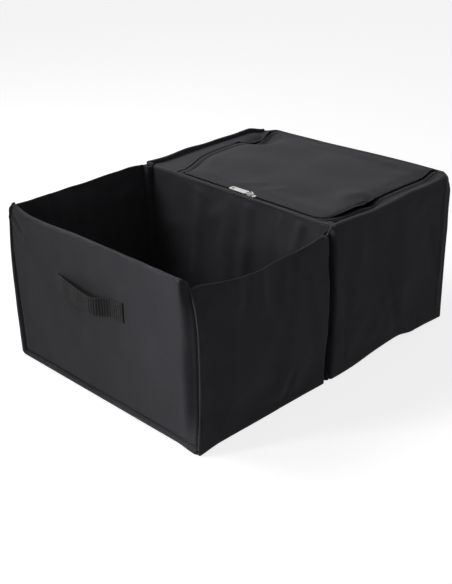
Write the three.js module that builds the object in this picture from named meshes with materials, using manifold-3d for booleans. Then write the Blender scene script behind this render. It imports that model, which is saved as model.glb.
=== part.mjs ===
// Car trunk organizer: an open compartment and an insulated cooler compartment with a zipped lid.
// Millimetres, +Z up. X is the width, the open compartment is at -Y, the cooler at +Y.
import * as THREE from 'three';
import { mergeVertices } from 'three/addons/utils/BufferGeometryUtils.js';
import Module from 'manifold-3d';

const wasm = await Module();
wasm.setup();

// Driving dimensions of the box
const width = 440;
const height = 270;
const openLength = 295;
const coolerLength = 305;

// Sheet and board thicknesses
const fabric = 1.0;
const board = 3.0;
const baseBoard = 3.5;
const foam = 5.0;
const linerSkin = 0.8;
const fit = 0.3;

// Open compartment
const sideDropNear = 8;
const sideDropJunction = 4;
const sideSagRight = 12;
const sideSagLeft = 3;
const sideLayerGap = 0.5;
const sagSteps = 10;
const cornerPiping = 5.4;
const cornerPipingDrop = 7;
const baseBoardMargin = 3;
const panelFoldRadius = 2.6;
const wallFoldRadius = 1.2;
const foldBevel = 0.3;

// Junction between the compartments
const junctionRadius = 7;
const junctionReturn = 12;
const junctionSlot = 0.4;

// Top of the cooler
const topDrop = 5;
const hemWidth = 3;
const hemHeight = 4.4;
const topPipingRadius = 2;
const hingePipingRadius = 1.5;
const backCornerPiping = 5;

// Zip
const zipLeftMargin = 44;
const zipRightMargin = 33;
const zipNearMargin = 11;
const zipFarMargin = 10;
const zipLeftRadius = 42;
const zipRightRadius = 27;
const channelHalf = 5.2;
const tapeThickness = 0.8;
const tapeReach = 6.6;
const coilGapHalf = 0.8;
const coilWidth = 1.8;
const coilHeight = 1.6;

// Lid
const lidFoamInset = 14;
const lidLinerInset = 1;
const lidFoam = 5.0;
const lidFarClearance = 15;

// Zip slider and pull tab
const sliderPlace = 29;
const sliderLength = 22;
const sliderWidth = 9.4;
const sliderPlate = 1.3;
const sliderFlange = 0.9;
const sliderCornerShare = 0.45;
const neckThickness = 1.0;
const neckLength = 5;
const crownBore = 2.2;
const crownWall = 2.0;
const crownWidth = 2.6;
const crownShift = 3;
const pullTab = 32.5;
const pullWidth = 12.4;
const pullHeadWidth = 8;
const pullWindow = 11;
const pullShoulder = 4.5;
const pullShoulderWidth = 13.6;
const pullThickness = 1.4;
const pullBar = 3.0;
const pullHole = 5.2;
const pullHoleInset = 6.2;
const pullHoleSides = 12;
const pullTipShare = 0.55;
const pullEdgeStep = 1;
const crownSideGap = 0.6;

// Webbing handles
const webbingWidth = 30;
const webbing = 2.0;
const handleSpan = 154;
const handleBow = 22;
const handleDrop = 93;
const handleShift = -10;
const handleTail = 24;
const slotPlay = 1.0;
const strapBend = 3.2;
const strapInnerBend = 2.2;
const bowSteps = 10;

// Places worked out from the dimensions
const halfWidth = width / 2;
const nearEnd = -(openLength + coolerLength) / 2;
const junction = nearEnd + openLength;
const farEnd = junction + coolerLength;
const topPlane = height - topDrop;
const fabricUnder = topPlane - fabric;
const tapeTop = fabricUnder - fit;
const tapeUnder = tapeTop - tapeThickness;
const wallFoamTop = tapeUnder - fit;
const endPanelDepth = 2 * fabric + 2 * fit + board;
const openInnerNear = nearEnd + endPanelDepth;
const cornerPipingTop = height - cornerPipingDrop;

const materials = {
  fabric: new THREE.MeshStandardMaterial({ color: 0x232225, roughness: 0.85, metalness: 0 }),
  lining: new THREE.MeshStandardMaterial({ color: 0x1d1c1f, roughness: 0.8, metalness: 0 }),
  webbing: new THREE.MeshStandardMaterial({ color: 0x1f1e20, roughness: 0.7, metalness: 0 }),
  board: new THREE.MeshStandardMaterial({ color: 0x6d6a64, roughness: 0.9, metalness: 0 }),
  foam: new THREE.MeshStandardMaterial({ color: 0xe9e9e6, roughness: 0.9, metalness: 0 }),
  film: new THREE.MeshStandardMaterial({ color: 0xb9bcc0, roughness: 0.35, metalness: 0.2 }),
  nylon: new THREE.MeshStandardMaterial({ color: 0x161617, roughness: 0.5, metalness: 0 }),
  metal: new THREE.MeshStandardMaterial({ color: 0xd8d6d3, roughness: 0.25, metalness: 1 }),
};

const organizer = new THREE.Group();

function addPiece(name, geometry, material) {
  const mesh = new THREE.Mesh(geometry, material);
  mesh.name = name;
  organizer.add(mesh);
}

// Closed body from numbered corners; its faces are turned outward by the sign of its volume.
function closedGeometry(corners, triangles) {
  let volume = 0;
  for (const [a, b, c] of triangles) {
    const normal = new THREE.Vector3().crossVectors(corners[b], corners[c]);
    volume += corners[a].dot(normal);
  }
  const index = triangles.flatMap(([a, b, c]) => (volume > 0 ? [a, b, c] : [a, c, b]));
  const geometry = new THREE.BufferGeometry();
  geometry.setAttribute('position', new THREE.Float32BufferAttribute(corners.flatMap((p) => p.toArray()), 3));
  geometry.setIndex(index);
  return geometry;
}

// Closed body through a row of stations. outlineAt(station) gives the section's corners (u, v);
// placeAt(station, u, v) gives the point in space. All sections have the same number of corners.
function loft(stations, outlineAt, placeAt) {
  const flat = stations.map((station) => outlineAt(station).map(([u, v]) => new THREE.Vector2(u, v)));
  const sections = THREE.ShapeUtils.isClockWise(flat[0]) ? flat.map((s) => s.reverse()) : flat;
  const count = sections[0].length;
  const corners = sections.flatMap((section, i) => section.map((p) => placeAt(stations[i], p.x, p.y)));
  const triangles = [];
  for (let i = 0; i + 1 < sections.length; i += 1) {
    for (let j = 0; j < count; j += 1) {
      const a = i * count + j;
      const b = i * count + (j + 1) % count;
      triangles.push([a, b, b + count], [a, b + count, a + count]);
    }
  }
  const last = (sections.length - 1) * count;
  const startCap = THREE.ShapeUtils.triangulateShape(sections[0], []);
  const endCap = THREE.ShapeUtils.triangulateShape(sections[sections.length - 1], []);
  for (const [a, b, c] of startCap) triangles.push([a, c, b]);
  for (const [a, b, c] of endCap) triangles.push([last + a, last + b, last + c]);
  return closedGeometry(corners, triangles);
}

// Box between two corners.
function slab(x0, x1, y0, y1, z0, z1) {
  const geometry = new THREE.BoxGeometry(x1 - x0, y1 - y0, z1 - z0);
  geometry.translate((x0 + x1) / 2, (y0 + y1) / 2, (z0 + z1) / 2);
  return geometry;
}

// Plan path through corners [x, y, radius], with its arcs cut into short steps.
function roundedPath(corners, stepsPerArc = 7) {
  const path = [new THREE.Vector2(corners[0][0], corners[0][1])];
  for (let i = 1; i + 1 < corners.length; i += 1) {
    const here = new THREE.Vector2(corners[i][0], corners[i][1]);
    const back = new THREE.Vector2(corners[i - 1][0], corners[i - 1][1]).sub(here).normalize();
    const ahead = new THREE.Vector2(corners[i + 1][0], corners[i + 1][1]).sub(here).normalize();
    const halfAngle = Math.acos(back.dot(ahead)) / 2;
    const reach = corners[i][2] / Math.tan(halfAngle);
    const centre = back.clone().add(ahead).normalize()
      .multiplyScalar(corners[i][2] / Math.sin(halfAngle)).add(here);
    const start = here.clone().addScaledVector(back, reach).sub(centre);
    const end = here.clone().addScaledVector(ahead, reach).sub(centre);
    const sweep = Math.atan2(start.x * end.y - start.y * end.x, start.dot(end));
    for (let k = 0; k <= stepsPerArc; k += 1) {
      const turned = start.clone().rotateAround(new THREE.Vector2(), sweep * k / stepsPerArc);
      path.push(turned.add(centre));
    }
  }
  const lastCorner = corners[corners.length - 1];
  path.push(new THREE.Vector2(lastCorner[0], lastCorner[1]));
  return path;
}

// Adds to each point of a plan path the mitred normal on its left side.
function withNormals(path) {
  return path.map((point, i) => {
    const before = path[Math.max(i - 1, 0)];
    const after = path[Math.min(i + 1, path.length - 1)];
    const legIn = i > 0 ? point.clone().sub(before).normalize() : null;
    const legOut = i + 1 < path.length ? after.clone().sub(point).normalize() : null;
    const first = legIn ?? legOut;
    const second = legOut ?? legIn;
    const normalIn = new THREE.Vector2(-first.y, first.x);
    const normalOut = new THREE.Vector2(-second.y, second.x);
    const mitre = normalIn.clone().add(normalOut).normalize();
    mitre.multiplyScalar(1 / mitre.dot(normalIn));
    return { x: point.x, y: point.y, nx: mitre.x, ny: mitre.y };
  });
}

// Upright wall along a plan path: u is the depth to the left of the path, v is the height.
function wallAlong(path, outlineAt) {
  return loft(withNormals(path), outlineAt, (s, u, v) =>
    new THREE.Vector3(s.x + s.nx * u, s.y + s.ny * u, v));
}

function mirroredX(geometry) {
  const mirrored = geometry.clone();
  mirrored.scale(-1, 1, 1);
  const index = mirrored.getIndex();
  for (let i = 0; i < index.count; i += 3) {
    const kept = index.getX(i + 1);
    index.setX(i + 1, index.getX(i + 2));
    index.setX(i + 2, kept);
  }
  return mirrored;
}

// Solids for cutting and joining.
function toSolid(geometry) {
  const bare = geometry.clone();
  bare.deleteAttribute('normal');
  bare.deleteAttribute('uv');
  const merged = mergeVertices(bare, 1e-4);
  return new wasm.Manifold(new wasm.Mesh({
    numProp: 3,
    vertProperties: new Float32Array(merged.attributes.position.array),
    triVerts: new Uint32Array(merged.index.array),
  }));
}

function fromSolid(solid) {
  const mesh = solid.getMesh();
  const geometry = new THREE.BufferGeometry();
  geometry.setAttribute('position', new THREE.Float32BufferAttribute(Array.from(mesh.vertProperties), 3));
  geometry.setIndex(Array.from(mesh.triVerts));
  return geometry;
}

function cut(geometry, tools) {
  let solid = toSolid(geometry);
  for (const tool of tools) solid = solid.subtract(toSolid(tool));
  return fromSolid(solid);
}

function join(geometries) {
  let solid = toSolid(geometries[0]);
  for (const next of geometries.slice(1)) solid = solid.add(toSolid(next));
  return fromSolid(solid);
}

// Section of a cloth folded over at the top, open at the bottom.
function foldedOutline(depth, bottom, top, layer, radius) {
  const inner = depth - layer;
  return [
    [0, bottom], [0, top - radius], [radius * foldBevel, top - radius * foldBevel], [radius, top],
    [depth - radius, top], [depth - radius * foldBevel, top - radius * foldBevel], [depth, top - radius],
    [depth, bottom], [inner, bottom], [inner, top - radius], [layer, top - radius], [layer, bottom],
  ];
}

// Boxes that the webbing passes through in an end wall.
function strapSlots(centreX, fromY, toY) {
  const half = webbingWidth / 2 + slotPlay;
  const middle = height - handleDrop;
  return [-1, 1].map((side) => {
    const x = centreX + side * handleSpan / 2;
    const reach = webbing / 2 + slotPlay;
    return slab(x - reach, x + reach, fromY, toY, middle - half, middle + half);
  });
}

// End panel of the open compartment: a fabric sleeve folded over a board
function buildEndPanel() {
  const reach = halfWidth - cornerPiping - fit;
  const ends = [new THREE.Vector2(-reach, nearEnd), new THREE.Vector2(reach, nearEnd)];
  const outline = foldedOutline(endPanelDepth, 0, height, fabric, panelFoldRadius);
  const sleeve = wallAlong(ends, () => outline);
  const slots = strapSlots(handleShift, nearEnd - fabric, openInnerNear + fabric);
  addPiece('end_panel_cover', cut(sleeve, slots), materials.fabric);
  const boardNear = nearEnd + fabric + fit;
  const core = slab(-reach, reach, boardNear, boardNear + board, fabric, height - panelFoldRadius - fit);
  addPiece('end_panel_board', cut(core, slots), materials.board);
}

// Upright piping in the corners between the end panel and the side walls
function buildCornerPiping() {
  for (const [label, side] of [['left', -1], ['right', 1]]) {
    const rod = new THREE.CylinderGeometry(cornerPiping / 2, cornerPiping / 2, cornerPipingTop, 12);
    rod.rotateX(Math.PI / 2);
    rod.translate(side * (halfWidth - cornerPiping / 2), nearEnd + cornerPiping / 2, cornerPipingTop / 2);
    addPiece(`corner_piping_${label}`, rod, materials.fabric);
  }
}

// Soft side walls of the open compartment, rolled in where they meet the cooler
function buildOpenWalls() {
  const depth = 2 * fabric + sideLayerGap;
  const nearY = nearEnd + cornerPiping + fit;
  const seamY = junction - junctionSlot / 2;
  const bendStart = seamY - junctionRadius - 1;
  const straight = [];
  for (let i = 0; i < sagSteps; i += 1) {
    straight.push(new THREE.Vector2(halfWidth, nearY + (bendStart - nearY) * i / sagSteps));
  }
  const turn = roundedPath([[halfWidth, bendStart], [halfWidth, seamY, junctionRadius],
    [halfWidth - junctionReturn, seamY]]);
  const path = [...straight, ...turn];
  for (const [label, sag] of [['left', sideSagLeft], ['right', sideSagRight]]) {
    const wall = wallAlong(path, (s) => {
      const along = (s.y - nearY) / (seamY - nearY);
      const level = height - sideDropNear + (sideDropNear - sideDropJunction) * along;
      const top = level - sag * Math.sin(Math.PI * along);
      return foldedOutline(depth, 0, top, fabric, wallFoldRadius);
    });
    addPiece(`open_wall_${label}`, label === 'right' ? wall : mirroredX(wall), materials.fabric);
  }
}

// Rectangle in plan whose corners towards `cutSide` (-1 near, 1 far) are cut off by the wall's roll.
function rolledPlan(reach, nearY, farY, cutSide) {
  const corners = [[reach, nearY], [reach, farY], [-reach, farY], [-reach, nearY]];
  const points = [];
  for (const [x, y] of corners) {
    const isCut = cutSide > 0 ? y === farY : y === nearY;
    const across = new THREE.Vector2(x - Math.sign(x) * junctionRadius, y);
    const along = new THREE.Vector2(x, y - cutSide * junctionRadius);
    const towardsEnd = (x > 0) === (y === farY);
    if (!isCut) points.push(new THREE.Vector2(x, y));
    else points.push(...(towardsEnd ? [along, across] : [across, along]));
  }
  return points;
}

// Base of the open compartment: fabric, and a covered board that lies in it
function buildOpenBase() {
  const inside = halfWidth - 2 * fabric - sideLayerGap - fit;
  const near = openInnerNear + fit;
  const far = junction - junctionSlot / 2 - 2 * fabric - sideLayerGap - fit;
  addPiece('open_base_fabric', extruded(rolledPlan(inside, near, far, 1), 0, fabric), materials.fabric);
  const boardPlan = rolledPlan(inside - baseBoardMargin, near + baseBoardMargin, far - baseBoardMargin, 1);
  addPiece('open_base_board', extruded(boardPlan, fabric + fit, baseBoard), materials.lining);
}

// Outer walls of the cooler
const coolerNear = junction + junctionSlot / 2;
const nearFabricBack = coolerNear + fabric;
function buildCoolerShell() {
  const farY = farEnd - backCornerPiping - fit;
  const path = roundedPath([[halfWidth - junctionReturn, coolerNear],
    [halfWidth, coolerNear, junctionRadius], [halfWidth, farY]]);
  const hemBase = height - hemHeight;
  const wall = wallAlong(path, () => [
    [0, 0], [0, height - fabric], [fabric / 2, height], [hemWidth - fabric / 2, height],
    [hemWidth, height - fabric], [hemWidth, hemBase], [fabric, hemBase], [fabric, 0],
  ]);
  addPiece('cooler_wall_right', wall, materials.fabric);
  addPiece('cooler_wall_left', mirroredX(wall), materials.fabric);

  const nearReach = halfWidth - junctionReturn - fit;
  addPiece('cooler_near_panel', slab(-nearReach, nearReach, coolerNear, nearFabricBack, 0, topPlane),
    materials.fabric);

  const backReach = halfWidth - backCornerPiping - fit;
  const backSlots = strapSlots(-handleShift, farEnd - fabric - fit - board - fit, farEnd + fabric);
  const backFabric = slab(-backReach, backReach, farEnd - fabric, farEnd, 0, topPlane);
  addPiece('cooler_back_panel', cut(backFabric, backSlots), materials.fabric);
  const boardFar = farEnd - fabric - fit;
  const backBoard = slab(-backReach, backReach, boardFar - board, boardFar, fabric + fit, wallFoamTop);
  addPiece('back_board', cut(backBoard, backSlots), materials.board);

  for (const [label, side] of [['left', -1], ['right', 1]]) {
    const rod = new THREE.CylinderGeometry(backCornerPiping / 2, backCornerPiping / 2, topPlane, 12);
    rod.rotateX(Math.PI / 2);
    rod.translate(side * (halfWidth - backCornerPiping / 2), farEnd - backCornerPiping / 2, topPlane / 2);
    addPiece(`back_corner_piping_${label}`, rod, materials.fabric);
  }
}

// Insulation and the welded liner of the cooler
const foamBackFace = farEnd - fabric - 2 * fit - board - webbing - fit;
const linerSide = halfWidth - fabric - 2 * fit - foam;
const linerNear = nearFabricBack + 2 * fit + foam;
const linerFar = foamBackFace - foam - fit;
const linerFloor = fabric + 2 * fit + foam;
function buildInsulation() {
  const sideNear = nearFabricBack + junctionRadius;
  const sideFace = halfWidth - fabric - fit;
  const foamBottom = fabric + fit;
  const nearReach = halfWidth - junctionReturn - fit;
  const basePlan = rolledPlan(sideFace, nearFabricBack + fit, farEnd - backCornerPiping - fit, -1);
  addPiece('cooler_base_fabric', extruded(basePlan, 0, fabric), materials.fabric);
  addPiece('foam_base', slab(-linerSide, linerSide, linerNear, linerFar, foamBottom, foamBottom + foam),
    materials.foam);
  addPiece('foam_right', slab(linerSide + fit, sideFace, sideNear, linerFar, foamBottom, wallFoamTop),
    materials.foam);
  addPiece('foam_left', slab(-sideFace, -linerSide - fit, sideNear, linerFar, foamBottom, wallFoamTop),
    materials.foam);
  addPiece('foam_near', slab(-nearReach, nearReach, nearFabricBack + fit, linerNear - fit,
    foamBottom, wallFoamTop), materials.foam);
  const backReach = halfWidth - backCornerPiping - fit;
  addPiece('foam_back', slab(-backReach, backReach, foamBackFace - foam, foamBackFace,
    foamBottom, wallFoamTop), materials.foam);

  const outer = slab(-linerSide, linerSide, linerNear, linerFar, linerFloor, wallFoamTop);
  const hollow = slab(-linerSide + linerSkin, linerSide - linerSkin, linerNear + linerSkin,
    linerFar - linerSkin, linerFloor + linerSkin, height);
  addPiece('cooler_liner', cut(outer, [hollow]), materials.film);
}

// Zip line, from the far left end round the two near corners to the far right end
const zipLeft = -halfWidth + zipLeftMargin;
const zipRight = halfWidth - zipRightMargin;
const zipNear = junction + zipNearMargin;
const zipFar = farEnd - zipFarMargin;
const zipPath = roundedPath([[zipLeft, zipFar], [zipLeft, zipNear, zipLeftRadius],
  [zipRight, zipNear, zipRightRadius], [zipRight, zipFar]], 10);

// Shape bounded by the zip line moved inward (or outward where the distance is negative).
function zipOffset(distance) {
  return withNormals(zipPath).map((s) => new THREE.Vector2(s.x + s.nx * distance, s.y + s.ny * distance));
}

function extruded(points, bottom, thickness, holes = []) {
  const shape = new THREE.Shape(points);
  for (const hole of holes) shape.holes.push(new THREE.Path(hole));
  const geometry = new THREE.ExtrudeGeometry(shape, { depth: thickness, bevelEnabled: false });
  geometry.translate(0, 0, bottom);
  return geometry;
}

// Round bar along X, for the piping of the top edges
function pipingBar(radius, reach, y, z) {
  const rod = new THREE.CylinderGeometry(radius, radius, 2 * reach, 10);
  rod.rotateZ(Math.PI / 2);
  rod.translate(0, y, z);
  return rod;
}

// Top border around the zip, its piping, and the zip's border half
const hingeY = farEnd - fabric - hingePipingRadius + fit;
const hingeZ = topPlane + fit + hingePipingRadius;
function buildTop() {
  const outerX = halfWidth - fabric - fit;
  const nearY = nearFabricBack + fit;
  const farY = farEnd - backCornerPiping - fit;
  const notch = zipOffset(-channelHalf);
  notch[0].y = farY;
  notch[notch.length - 1].y = farY;
  const rim = rolledPlan(outerX, nearY, farY, -1);
  const border = [...notch, ...rim.slice(0, 3).reverse(), ...rim.slice(3).reverse()];
  addPiece('top_border', extruded(border, fabricUnder, fabric), materials.fabric);
  const pipingReach = halfWidth - junctionReturn - fit;
  addPiece('near_top_piping', pipingBar(topPipingRadius, pipingReach,
    coolerNear + topPipingRadius, topPlane + fit + topPipingRadius), materials.fabric);
  const hingeReach = halfWidth - backCornerPiping - fit;
  addPiece('hinge_piping', pipingBar(hingePipingRadius, hingeReach, hingeY, hingeZ), materials.fabric);
}

function zipBand(from, to, bottom, top) {
  const outline = [[from, bottom], [to, bottom], [to, top], [from, top]];
  return loft(withNormals(zipPath), () => outline, (s, u, v) =>
    new THREE.Vector3(s.x + s.nx * u, s.y + s.ny * u, v));
}

function buildZip() {
  for (const [label, side] of [['border', -1], ['lid', 1]]) {
    addPiece(`zip_tape_${label}`,
      zipBand(side * coilGapHalf, side * tapeReach, tapeUnder, tapeTop), materials.nylon);
    const coilBottom = tapeTop + fit;
    addPiece(`zip_coil_${label}`, zipBand(side * coilGapHalf, side * (coilGapHalf + coilWidth),
      coilBottom, coilBottom + coilHeight), materials.nylon);
  }
}

// Lid: fabric, foam and lining
function buildLid() {
  const farEdge = hingeY - hingePipingRadius - fit;
  const sheet = zipOffset(channelHalf);
  sheet[0].y = farEdge;
  sheet[sheet.length - 1].y = farEdge;
  addPiece('lid_fabric', extruded(sheet, fabricUnder, fabric), materials.fabric);
  const foamEdge = zipOffset(lidFoamInset);
  foamEdge[0].y = farEnd - lidFarClearance;
  foamEdge[foamEdge.length - 1].y = farEnd - lidFarClearance;
  const foamTop = fabricUnder - fit;
  addPiece('lid_foam', extruded(foamEdge, foamTop - lidFoam, lidFoam), materials.foam);
  const liningEdge = zipOffset(lidFoamInset + lidLinerInset);
  liningEdge[0].y = farEnd - lidFarClearance - lidLinerInset;
  liningEdge[liningEdge.length - 1].y = farEnd - lidFarClearance - lidLinerInset;
  const liningBottom = foamTop - lidFoam - fit - linerSkin;
  addPiece('lid_lining', extruded(liningEdge, liningBottom, linerSkin), materials.film);
}

// Zip slider: top plate with two flanges, a lower plate on the lid's side, and the crown
const plateUnder = tapeTop + fit + coilHeight + fit;
const plateTop = plateUnder + sliderPlate;
const barSwing = Math.hypot(pullBar / 2, pullThickness / 2);
const pullAxisZ = plateTop + fit + barSwing;
function platePoints(length, halfBreadth) {
  const nose = length / 2;
  const cornerCut = halfBreadth * sliderCornerShare;
  return [
    [-nose, -halfBreadth + cornerCut], [-nose + cornerCut, -halfBreadth], [nose - cornerCut, -halfBreadth],
    [nose, -halfBreadth + cornerCut], [nose, halfBreadth - cornerCut], [nose - cornerCut, halfBreadth],
    [-nose + cornerCut, halfBreadth], [-nose, halfBreadth - cornerCut],
  ].map(([x, y]) => new THREE.Vector2(x, y));
}

function buildSlider() {
  const half = sliderWidth / 2;
  const top = extruded(platePoints(sliderLength, half), plateUnder, sliderPlate);
  const flangeReach = sliderLength / 2 - half * sliderCornerShare;
  const flangeBottom = tapeTop + fit;
  const flanges = [-1, 1].map((side) => slab(-flangeReach, flangeReach,
    Math.min(side * half, side * (half - sliderFlange)), Math.max(side * half, side * (half - sliderFlange)),
    flangeBottom, plateUnder + sliderPlate / 2));
  const lowerTop = tapeUnder - fit;
  const neck = slab(-neckLength / 2, neckLength / 2, -neckThickness / 2, neckThickness / 2,
    lowerTop - sliderPlate / 2, plateUnder + sliderPlate / 2);
  const lower = slab(-flangeReach, flangeReach, -neckThickness / 2, half, lowerTop - sliderPlate, lowerTop);

  const outer = crownBore + crownWall;
  const foot = plateTop - sliderPlate / 2 - pullAxisZ;
  const arch = new THREE.Shape();
  arch.moveTo(outer, foot);
  arch.lineTo(outer, 0);
  arch.absarc(0, 0, outer, 0, Math.PI, false);
  arch.lineTo(-outer, foot);
  arch.lineTo(-crownBore, foot);
  arch.lineTo(-crownBore, 0);
  arch.absarc(0, 0, crownBore, Math.PI, 0, true);
  arch.lineTo(crownBore, foot);
  arch.closePath();
  const crown = new THREE.ExtrudeGeometry(arch,
    { depth: crownWidth, bevelEnabled: false, curveSegments: 10 });
  crown.translate(0, 0, -crownWidth / 2);
  crown.rotateX(Math.PI / 2);
  crown.translate(crownShift, 0, pullAxisZ);

  const slider = join([top, ...flanges, neck, lower, crown]);
  slider.translate(sliderPlace, zipNear, 0);
  addPiece('zip_slider', slider, materials.metal);
}

// Pull tab: its bar lies under the crown, its window lets the crown through, a hole near the far end
function buildPull() {
  const headHalf = pullHeadWidth / 2;
  const tabHalf = pullWidth / 2;
  const shoulderHalf = pullShoulderWidth / 2;
  const shoulderEnd = -pullWindow - pullShoulder;
  const tip = shoulderEnd - pullTab;
  const round = tabHalf * pullTipShare;
  const upperSide = [
    [pullBar / 2, headHalf], [-pullWindow + pullEdgeStep, headHalf], [-pullWindow, shoulderHalf],
    [shoulderEnd + pullEdgeStep, shoulderHalf], [shoulderEnd, tabHalf], [tip + round, tabHalf],
    [tip + round * foldBevel, tabHalf - round * foldBevel], [tip, tabHalf - round],
  ];
  const lowerSide = upperSide.map(([x, y]) => [x, -y]).reverse();
  const outline = [...upperSide, ...lowerSide].map(([x, y]) => new THREE.Vector2(x, y));
  const windowHalf = crownWidth / 2 + crownSideGap;
  const opening = [[-pullBar / 2, -windowHalf], [-pullBar / 2, windowHalf], [-pullWindow, windowHalf],
    [-pullWindow, -windowHalf]].map(([x, y]) => new THREE.Vector2(x, y));
  const hole = [];
  for (let i = 0; i < pullHoleSides; i += 1) {
    const spoke = new THREE.Vector2(pullHole / 2, 0);
    spoke.rotateAround(new THREE.Vector2(), -2 * Math.PI * i / pullHoleSides);
    hole.push(spoke.add(new THREE.Vector2(tip + pullHoleInset, 0)));
  }
  const pull = extruded(outline, -pullThickness / 2, pullThickness, [opening, hole]);
  pull.translate(sliderPlace + crownShift, zipNear, pullAxisZ);
  addPiece('zip_pull', pull, materials.metal);
}

// Webbing handle: through two slits, its ends flat behind the wall. outward is -1 at the near end.
function strapPath(wallOuter, wallInner, outward, centreX) {
  const half = handleSpan / 2;
  const insideY = wallInner - outward * (fit + webbing / 2);
  const outsideY = wallOuter + outward * (strapBend + webbing / 2);
  const right = roundedPath([[half + handleTail, insideY], [half, insideY, strapInnerBend],
    [half, outsideY, strapBend], [half - handleTail, outsideY + outward * strapBend / 2]], 5);
  const arcFrom = right[right.length - 1];
  const bowY = wallOuter + outward * (handleBow - webbing / 2);
  const arc = [];
  for (let i = 1; i < 2 * bowSteps; i += 1) {
    const x = arcFrom.x * (1 - i / bowSteps);
    const lift = 1 - (x / arcFrom.x) ** 2;
    arc.push(new THREE.Vector2(x, arcFrom.y + (bowY - arcFrom.y) * lift));
  }
  const left = right.map((p) => new THREE.Vector2(-p.x, p.y)).reverse();
  return [...right, ...arc, ...left].map((p) => p.setX(p.x + centreX));
}

function buildHandles() {
  const middle = height - handleDrop;
  const outline = [
    [-webbing / 2, middle - webbingWidth / 2], [webbing / 2, middle - webbingWidth / 2],
    [webbing / 2, middle + webbingWidth / 2], [-webbing / 2, middle + webbingWidth / 2],
  ];
  addPiece('end_handle',
    wallAlong(strapPath(nearEnd, openInnerNear, -1, handleShift), () => outline), materials.webbing);
  const backInner = farEnd - fabric - fit - board;
  addPiece('back_handle',
    wallAlong(strapPath(farEnd, backInner, 1, -handleShift), () => outline), materials.webbing);
}

buildEndPanel();
buildCornerPiping();
buildOpenWalls();
buildOpenBase();
buildCoolerShell();
buildInsulation();
buildTop();
buildZip();
buildLid();
buildSlider();
buildPull();
buildHandles();

export default organizer;
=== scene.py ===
import math

import bpy
import numpy as np
from mathutils import Matrix, Vector
from mathutils.geometry import delaunay_2d_cdt


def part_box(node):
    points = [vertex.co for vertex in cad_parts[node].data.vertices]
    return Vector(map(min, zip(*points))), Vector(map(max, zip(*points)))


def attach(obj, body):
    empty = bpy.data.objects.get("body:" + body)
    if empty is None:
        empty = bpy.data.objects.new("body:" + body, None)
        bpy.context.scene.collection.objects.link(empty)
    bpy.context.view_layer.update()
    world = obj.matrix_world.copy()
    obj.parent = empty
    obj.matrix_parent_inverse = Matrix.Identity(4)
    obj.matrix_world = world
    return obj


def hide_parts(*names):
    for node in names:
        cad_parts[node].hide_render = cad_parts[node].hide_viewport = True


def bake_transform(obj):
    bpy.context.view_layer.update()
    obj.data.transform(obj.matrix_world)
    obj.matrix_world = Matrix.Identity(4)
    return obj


# Car trunk organizer. Metres, +Z up, the open compartment at -Y, the cooler compartment at +Y.
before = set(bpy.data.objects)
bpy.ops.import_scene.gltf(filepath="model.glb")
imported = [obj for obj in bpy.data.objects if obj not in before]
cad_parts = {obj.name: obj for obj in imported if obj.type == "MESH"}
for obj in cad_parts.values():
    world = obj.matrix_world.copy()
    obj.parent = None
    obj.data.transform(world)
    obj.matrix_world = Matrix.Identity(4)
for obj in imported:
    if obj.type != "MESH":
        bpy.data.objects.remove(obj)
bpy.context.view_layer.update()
MM = 0.001


# Places taken from the frame
HALF_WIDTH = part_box("cooler_wall_right")[1].x
NEAR_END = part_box("end_panel_cover")[0].y
FAR_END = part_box("cooler_back_panel")[1].y
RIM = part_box("end_panel_cover")[1].z
TOP_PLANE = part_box("cooler_near_panel")[1].z
COOLER_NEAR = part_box("cooler_near_panel")[0].y
OPEN_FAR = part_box("open_wall_right")[1].y
PANEL_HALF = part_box("end_panel_cover")[1].x
PANEL_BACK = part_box("end_panel_cover")[1].y
NEAR_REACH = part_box("cooler_near_panel")[1].x
BACK_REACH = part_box("cooler_back_panel")[1].x
ZIP_LEFT = (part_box("zip_tape_border")[0].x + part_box("zip_tape_lid")[0].x) / 2
ZIP_RIGHT = (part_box("zip_tape_border")[1].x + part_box("zip_tape_lid")[1].x) / 2
ZIP_NEAR = (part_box("zip_tape_border")[0].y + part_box("zip_tape_lid")[0].y) / 2
ZIP_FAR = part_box("lid_fabric")[1].y - 1 * MM
TAPE_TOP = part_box("zip_tape_lid")[1].z
COIL_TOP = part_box("zip_coil_lid")[1].z
LID_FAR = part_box("lid_fabric")[1].y
HINGE_LOW, HINGE_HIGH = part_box("hinge_piping")
HANDLE_LOW, HANDLE_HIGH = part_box("end_handle")
HANDLE_MIDDLE = (HANDLE_LOW.z + HANDLE_HIGH.z) / 2
WEBBING_WIDTH = HANDLE_HIGH.z - HANDLE_LOW.z
LINER_LOW, LINER_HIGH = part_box("cooler_liner")

# Cloth
SIDES = (("left", -1), ("right", 1))
CLOTH = 0.8 * MM
FOLD_DEPTH = 2.5 * MM
ROLL = 4 * MM
COOLER_ROLL = 3.5 * MM
GROOVE = {"left": 6 * MM, "right": 15 * MM}
GROOVE_DEPTH = 15 * MM
CHANNEL = 5.2 * MM
RIB_PITCH = 4.4 * MM


# Noise and creases
RIPPLE_WAVES = 7


def ripple(a, b, seed, size):
    """Smooth noise of about -1 to 1 over a cloth, with bumps of about the given size."""
    rng = np.random.RandomState(seed)
    total = np.zeros(np.broadcast(a, b).shape)
    for _ in range(RIPPLE_WAVES):
        angle, phase = rng.uniform(0, 2 * math.pi, 2)
        pitch = size * rng.uniform(1.5, 3.0)
        total += np.sin(2 * math.pi * (a * math.cos(angle) + b * math.sin(angle)) / pitch + phase)
    return total / math.sqrt(RIPPLE_WAVES)


def ridge(off, width):
    """1 on a line and falling to 0 on both sides of it, by the distance from the line."""
    return np.exp(-(off / width) ** 2)


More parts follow.
